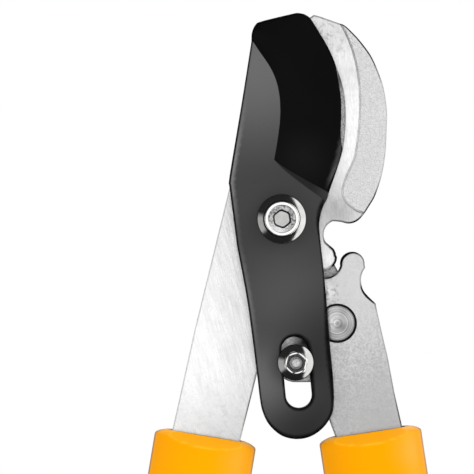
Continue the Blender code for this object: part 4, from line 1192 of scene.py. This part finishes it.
# Its hollow middle takes painted shade.
slide_nut = hex_nut(SLIDE_BOLT, 2.65, 4.0, slide_nut_front, slide_nut_back, recess=0.6)
make_piece(
    "slide_lock_nut", slide_nut, [ZINC, SHADED_ZINC, POLISHED_ZINC], "right_arm", ["slide_nut"],
    regions=by_row(slide_nut, FINE, (0, 1, 2), (3, 4)),
)
shank = from_face(slide_nut_front, (0.5, 0.5), (1.4, 0.5), (1.6, 0.75), (2.4, 1.3), (2.5, 1.9))
shank += [(2.5, -2.2), (4.4, -2.2), (4.4, -1.0), (4.1, -0.4), (3.4, 0.1), (2.2, 0.45), (0.8, 0.6)]
shank = turned(shank, SLIDE_BOLT, 48)
make_piece("slide_bolt_shank", shank, [BOLT_END], "right_arm", ["slide_bolt"], sharp=45.0)

pin = from_face(ARM_FRONT + 0.9, (0.8, 0), (6.3, 0), (6.55, 0.12), (6.7, 0.4))
pin += [(6.7, -4.0), (4.0, -4.0)] + from_face(LINK_BACK + 2.9, (4.0, -0.6), (3.4, 0), (0.8, 0))
make_piece("gear_pin", turned(pin, GEAR_PIVOT, FINE), [PIN_STEEL], "link", ["gear_pivot_pin"])
pin_ring = washer(GEAR_PIVOT, 4.3, 6.6, LINK_BACK + FIT, LINK_BACK + 1.7, 0.25)
make_piece("gear_pin_ring", pin_ring, [ZINC], "link", ["gear_pivot_ring"])
rivet = [(0.6, 3.95), (1.6, 3.8), (2.6, 3.45), (3.2, 3.0), (3.5, 2.6), (2.0, 2.55), (2.0, -6.0), (0.5, -6.0)]
for label, place in (("upper", (-7.4, -22.5)), ("lower", (-6.9, -36.0))):
    name, node = "tang_rivet_head_" + label, "tang_rivet_" + label
    make_piece(name, turned(rivet, place, 48), [DULL_ZINC], "hook_arm", [node])


# Handles


def across(arm, distance):
    """The middle of an arm at a distance below its collar's mouth, and the unit step outwards from it."""
    middle = np.array(along(arm, distance))
    return middle, np.array(along(arm, distance, 1.0)) - middle


def section(arm, distance, count, reach_at):
    """A ring of corners across an arm, each from how far it lies outwards and to the back at its turn."""
    middle, out = across(arm, distance)

    def corner(turn):
        wide, deep = reach_at(turn)
        x, z = middle + out * wide
        return (x, arm["depth"] + deep, z)

    return ring_of(count, corner)


def ovals(arm, distances, halves, count=96):
    """Oval rings across a handle; each half pair is across the front and front to back."""
    return [
        section(arm, distance, count, lambda turn: (wide * math.cos(turn), deep * math.sin(turn)))
        for distance, (wide, deep) in zip(distances, halves)
    ]


def swelling(arm, line):
    """Rings as flat as a grip along a handle; the line is distances and half widths."""
    return ovals(arm, [distance for distance, _ in line], [(half, half * GRIP_FLATNESS) for _, half in line])


def soft_limit(value, limit, blur):
    """The smaller of two lengths, blended where they meet."""
    gap = np.clip(0.5 + 0.5 * (limit - value) / blur, 0, 1)
    return limit * (1 - gap) + value * gap - blur * gap * (1 - gap)


# How a collar's mouth draws in: heights below it, and how far the skin lies inside the full width there
MOUTH_DOME = [(0, 4.0), (0.12, 3.5), (0.35, 2.75), (0.65, 1.95), (1.0, 1.2), (1.4, 0.6), (1.8, 0.22)]
MOUTH_DOME += [(2.2, 0.05), (2.6, 0)]
MOUTH_SLOPE = math.tan(math.radians(30.0))
FOOT_HEIGHT, FOOT_RADIUS = 2.0, 2.6
COLLAR_CORNERS = 160
BAR_ROOM_END, BAR_ROOM_MIDDLE, TUBE_ROOM_MIDDLE = 9.7, 5.0, 50.0


def collar(arm, label, body, bar_thickness):
    """A collar: an oval sleeve with a rounded foot, and a domed mouth cut at a slope in front and behind."""
    heights = [height for height, _ in MOUTH_DOME] + [*np.arange(3.2, 16, 0.6), *np.arange(17, 55, 3.0)]
    heights += [55.8, 56.6, 57.2, 57.6, 57.85, COLLAR_LENGTH]
    rings, creases = [], []
    for height in heights:
        foot = min(max(FOOT_HEIGHT - (COLLAR_LENGTH - height), 0), FOOT_HEIGHT)
        easing = FOOT_RADIUS - math.sqrt(FOOT_RADIUS**2 - foot**2) + np.interp(height, *zip(*MOUTH_DOME))
        limit = COLLAR_LAND + height / MOUTH_SLOPE

        def outer(turn):
            y = (COLLAR_HALF[1] - easing) * math.sin(turn)
            gap = min(max(0.5 + limit - abs(y), 0.0), 1.0)
            mouth = 0.8 * gap * max(1 - height / 1.8, 0)
            # The edge attribute marks a painted highlight: strong on the crease where the slope meets the
            # sleeve and on the mouth's rim, faint on the sloped lens.
            creases.append(max(4 * gap * (1 - gap), 0.25 * (1 - gap), mouth))
            y = math.copysign(soft_limit(abs(y), limit, 0.5), y)
            return (COLLAR_HALF[0] - easing) * math.cos(turn), y

        rings.append(section(arm, height, COLLAR_CORNERS, outer))

    def box(turn):
        """The room for the bar, a hair wider and deeper than it."""
        c, s = math.cos(turn), math.sin(turn)
        reach = min((BAR_HALF_WIDTH + FIT) / max(abs(c), 1e-6), (bar_thickness / 2 + FIT) / max(abs(s), 1e-6))
        return reach * c, reach * s

    rings += ovals(arm, [COLLAR_LENGTH, TUBE_ROOM_MIDDLE, BAR_ROOM_END], [TUBE_ROOM] * 3, COLLAR_CORNERS)
    rings += [section(arm, height, COLLAR_CORNERS, box) for height in (BAR_ROOM_END, BAR_ROOM_MIDDLE, 0.0)]
    creases += [0.0] * (COLLAR_CORNERS * len(rings) - len(creases))
    shape = stack(rings, closed=True)
    make_piece(label + "_yellow_collar", shape, [YELLOW], body, [label + "_collar"], edge=creases, sharp=48.0)


# A grip's half width at shares of its length
GRIP_SHAPE = [(0, 15.9), (0.02, 17.4), (0.07, 17.6), (0.121, 18.6), (0.164, 17.3), (0.208, 18.9)]
GRIP_SHAPE += [(0.251, 17.6), (0.294, 19.2), (0.337, 18.2), (0.45, 19.6), (0.60, 19.1), (0.76, 18.4)]
GRIP_SHAPE += [(0.88, 18.8), (0.94, 20.6), (0.984, 22.3), (1.0, 21.8)]


def grip(arm, label, body):
    """A soft grip: swelling, finger ribs at the top and a flared foot, over its tube."""
    line = through(GRIP_SHAPE, 7) + [GRIP_SHAPE[-1]]
    first = [(0.0, 14.9), (0.0005, 15.4), (0.002, 15.75)]
    last = [(0.9985, 21.6), (1.0, 21.2), (1.0, 20.4)]
    line = first + [p for p in line if 0.003 < p[0] < 0.9965] + last
    rings = swelling(arm, [(GRIP_START + share * GRIP_LENGTH, half) for share, half in line])
    rings += ovals(arm, [GRIP_START + GRIP_LENGTH, GRIP_START + 20, GRIP_START + 0.2], [TUBE_ROOM] * 3)
    make_piece(label + "_soft_grip", stack(rings, closed=True), [RUBBER], body, [label + "_grip"], sharp=55.0)


def end_cap(arm, label, body):
    """A cap: a plug in the tube, and a plate with a rolled rim over the end."""
    top = HANDLE_LENGTH - CAP_THICKNESS
    shape = [(0.12, 21.6), (0.4, 22.0), (0.9, 22.22), (2.0, 22.3), (3.2, 22.08), (4.2, 21.5), (5.1, 20.4)]
    shape = [(0, 21.0), *shape, (5.7, 19.0), (6.0, 17.5), (6.0, 13.0), (5.75, 12.6), (5.75, 0.4)]
    rings = ovals(arm, [top - 14, top - 13.5, top], [(11.6, 5.6), (12.2, 6.2), (12.6, 6.6)])
    rings += swelling(arm, [(top + height, half) for height, half in shape])
    make_piece(label + "_yellow_cap", stack(rings), [YELLOW], body, [label + "_end_cap"], sharp=45.0)


def tube(arm, label, body):
    """The bent oval tube of a handle, with its wall."""
    end = HANDLE_LENGTH - CAP_THICKNESS - FIT
    distances = [TUBE_START, 40.0, 80.0, *np.arange(100, 270, 8.0), 320.0, end]
    inside = (TUBE_HALF[0] - TUBE_WALL, TUBE_HALF[1] - TUBE_WALL)
    rings = ovals(arm, distances, [TUBE_HALF] * len(distances))
    rings += ovals(arm, distances[::-1], [inside] * len(distances))
    shape = stack(rings, closed=True)
    make_piece(label + "_lacquered_tube", shape, [LACQUER], body, [label + "_handle_tube"])


# What repeats: rivets in the collars and pads on the grips


def repeat_tree(name, rows):
    """Geometry nodes that stand a small dome on every point of a guide mesh, along its facing attribute."""
    tree = bpy.data.node_groups.new(name, "GeometryNodeTree")
    inputs = [("Geometry", "Geometry", None), ("Radius", "Float", 0.001), ("Height", "Float", 0.001)]
    for label, kind, default in [*inputs, ("Sides", "Int", 24), ("Finish", "Material", None)]:
        socket = tree.interface.new_socket(label, in_out="INPUT", socket_type="NodeSocket" + kind)
        if default is not None:
            socket.default_value = default
    tree.interface.new_socket("Geometry", in_out="OUTPUT", socket_type="NodeSocketGeometry")
    given = tree.nodes.new("NodeGroupInput").outputs

    def step(kind, inputs, family="Geometry", **settings):
        return add(tree, kind, inputs, family, **settings).outputs

    ball = step("MeshUVSphere", {"Segments": given["Sides"], "Rings": rows, "Radius": 1.0})["Mesh"]
    facing = step("InputNamedAttribute", {"Name": "facing"}, data_type="FLOAT_VECTOR")["Attribute"]
    turn = step("AlignRotationToVector", {"Vector": facing}, "Function", axis="Z")["Rotation"]
    size = combine(tree, given["Radius"], given["Radius"], given["Height"])
    inputs = {"Points": given["Geometry"], "Instance": ball, "Rotation": turn, "Scale": size}
    standing = step("InstanceOnPoints", inputs)["Instances"]
    real = step("RealizeInstances", {"Geometry": standing})["Geometry"]
    smooth = step("SetShadeSmooth", {"Geometry": real})["Geometry"]
    painted = step("SetMaterial", {"Geometry": smooth, "Material": given["Finish"]})["Geometry"]
    tree.links.new(painted, tree.nodes.new("NodeGroupOutput").inputs["Geometry"])
    return tree


RIVETS = repeat_tree("rivet_domes", 10)
PADS = repeat_tree("grip_pads", 6)


def repeated(name, tree, places, facings, body, replaced, look, **sizes):
    """A plain mesh of domes on the given places, in millimetres, made by the tree and then kept."""
    guide = bpy.data.meshes.new(name + "_guide")
    guide.from_pydata((np.asarray(places, float) * MM + MAIN_PIVOT).tolist(), [], [])
    facing = guide.attributes.new("facing", "FLOAT_VECTOR", "POINT")
    facing.data.foreach_set("vector", np.asarray(facings, np.float32).ravel())
    holder = placed(name + "_guide", guide)
    modifier = holder.modifiers.new("repeat", "NODES")
    modifier.node_group = tree
    given = {**sizes, "Finish": look}
    for item in tree.interface.items_tree:
        if item.in_out == "INPUT" and item.name in given:
            modifier[item.identifier] = given[item.name]
    bpy.context.view_layer.update()
    shown = holder.evaluated_get(bpy.context.evaluated_depsgraph_get())
    mesh = bpy.data.meshes.new_from_object(shown)
    mesh.name = name
    bpy.data.objects.remove(holder)
    dress(placed(name, mesh), body, replaced)


PAD_ROWS, FIRST_PAD_ROW, PAD_ROW_STEP, PAD_TURN = 17, 0.40, 0.0225, 17


def grip_pads(arm, label, body):
    """Staggered oval pads on the palm side of a grip, front and back."""
    places, facings = [], []
    shares, radii = zip(*GRIP_SHAPE)
    for row in range(PAD_ROWS):
        share = FIRST_PAD_ROW + row * PAD_ROW_STEP
        radius = np.interp(share, shares, radii)
        middle, out = across(arm, GRIP_START + share * GRIP_LENGTH)
        count = 4 if row % 2 else 5
        for face in (-1, 1):
            for k in range(count):
                turn = math.radians(90 + (k - (count - 1) / 2) * PAD_TURN)
                c, s = math.cos(turn), math.sin(turn)
                x, z = middle + out * radius * c
                normal = np.array([out[0] * c * GRIP_FLATNESS, face * s, out[1] * c * GRIP_FLATNESS])
                places.append((x, arm["depth"] + face * radius * GRIP_FLATNESS * s, z))
                facings.append(normal / np.linalg.norm(normal))
    sizes = {"Radius": 1.5 * MM, "Height": 0.42 * MM, "Sides": 16}
    repeated(label + "_grip_pads", PADS, places, facings, body, (), PAD_RUBBER, **sizes)


def collar_rivets(arm, label, body):
    places, facings = [], []
    for distance in RIVETS_ALONG:
        x, z = along(arm, distance)
        for face in (-1, 1):
            places.append((x, arm["depth"] + face * (COLLAR_HALF[1] - 0.35), z))
            facings.append((0, face, 0))
    nodes = [label + "_collar_rivet_upper", label + "_collar_rivet_lower"]
    sizes = {"Radius": 4.2 * MM, "Height": 2.1 * MM, "Sides": 40}
    repeated(label + "_rivet_domes", RIVETS, places, facings, body, nodes, ZINC, **sizes)


for arm, label, body, thickness in ((LEFT, "left", "hook_arm", 4.5), (RIGHT, "right", "right_arm", 5.0)):
    collar(arm, label, body, thickness)
    for make in (tube, grip, end_cap, grip_pads, collar_rivets):
        make(arm, label, body)

# Finishes of the CAD pieces that stay

for look, nodes in (
    (DARK_PLASTIC_AND_SHADE, ("left_handle_core", "right_handle_core")),
    (PLAIN_STEEL, ("main_pivot_bushing", "slide_roller")),
):
    for node in nodes:
        for holder in frame["nodes"][node].material_slots:
            holder.material = look


# Floor, light and camera


def floor_finish():
    """A pale matt floor that fades out far away, and that the bright metal doesn't mirror."""
    material, tree, shader, place = finish_of(
        "pale_floor", Base_Color=grey(0.86), Roughness=0.9, Specular_IOR_Level=0.1
    )
    away = add(tree, "VectorMath", {0: place}, operation="LENGTH").outputs["Value"]
    fade = spread(tree, away, 0.7, 1.6)
    share = calc(tree, "MAXIMUM", fade, add(tree, "LightPath").outputs["Is Glossy Ray"])
    clear = add(tree, "BsdfTransparent").outputs[0]
    mixed = add(tree, "MixShader", {0: share, 1: shader.outputs[0], 2: clear}).outputs[0]
    feed(tree.nodes["Material Output"], Surface=mixed)
    return material


def make_floor():
    low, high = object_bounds()
    mesh = bpy.data.meshes.new("floor")
    mesh.from_pydata([(x, y, 0) for x, y in circle((0, 0), 1.7)], [], [range(64)])
    mesh.materials.append(floor_finish())
    floor = placed("floor", mesh)
    floor.location = ((low.x + high.x) / 2, 0, low.z - 0.0005)


def make_world():
    """White to the camera; metal mirrors a bright front, a tall right panel, a dim left one, a pale back."""
    world = bpy.data.worlds.new("studio")
    bpy.context.scene.world = world
    world.use_nodes = True
    tree = world.node_tree
    x, y, z = split(tree, add(tree, "TexCoord").outputs["Generated"])
    front = spread(tree, y, -0.94, -0.84, 1.2, 0.0)
    back = spread(tree, y, 0.3, 0.8)
    beside = calc(tree, "SQRT", calc(tree, "SUBTRACT", 1.0001, times(tree, y, y)))
    side = calc(tree, "DIVIDE", x, beside)
    band = times(tree, spread(tree, y, -0.80, -0.74), spread(tree, y, -0.15, 0.1, 1.0, 0.0))
    bound = spread(tree, y, -0.78, -0.40, 0.86, 0.48)
    right = times(tree, band, spread(tree, calc(tree, "SUBTRACT", side, bound), -0.05, 0.05, 0.0, 1.7))
    low = spread(tree, calc(tree, "DIVIDE", z, beside), 0.05, 0.30, 1.0, 0.0)
    left = times(tree, times(tree, band, spread(tree, side, -0.86, -0.76, 0.75, 0.0)), low)
    mirrored = plus(tree, plus(tree, plus(tree, front, back), plus(tree, right, left)), 0.03)
    path = add(tree, "LightPath").outputs
    seen = calc(tree, "MAXIMUM", path["Is Camera Ray"], path["Is Transmission Ray"])
    shade = blend(tree, path["Is Glossy Ray"], grey(0.76), mirrored)
    feed(tree.nodes["Background"], Color=blend(tree, seen, shade, grey(1.0)))


def area_light(name, spot, target, size, watts):
    data = bpy.data.lights.new(name, "AREA")
    data.shape = "RECTANGLE"
    data.size, data.size_y = size
    data.energy = watts
    lamp = placed(name, data)
    lamp.location = spot
    lamp.visible_glossy = False
    lamp.rotation_euler = (Vector(target) - Vector(spot)).to_track_quat("-Z", "Y").to_euler()


def make_camera():
    """Square on to the front, framed on the head as in the photograph."""
    middle = PHOTO_WIDTH / 2
    data = bpy.data.cameras.new("camera")
    data.lens, data.sensor_width = 200.0, 36.0
    camera = placed("camera", data)
    shift = [(middle - PIVOT_PIXEL[0]) * PIXEL, -9.0, -(middle - PIVOT_PIXEL[1]) * PIXEL]
    distance = PHOTO_WIDTH * PIXEL * MM * data.lens / data.sensor_width
    camera.location = MAIN_PIVOT + np.array(shift) * MM + np.array([0, -distance, 0])
    camera.rotation_euler = (math.pi / 2, 0, 0)
    bpy.context.scene.camera = camera


make_floor()
make_world()
aim = (0.06, 0, 0.36)
area_light("right_softbox", (1.60, -1.20, 1.35), aim, (1.1, 1.4), 19.5)
area_light("left_softbox", (-1.5, -1.2, 1.20), aim, (1.0, 1.3), 9.5)
make_camera()
bpy.context.scene.view_settings.view_transform = "Standard"
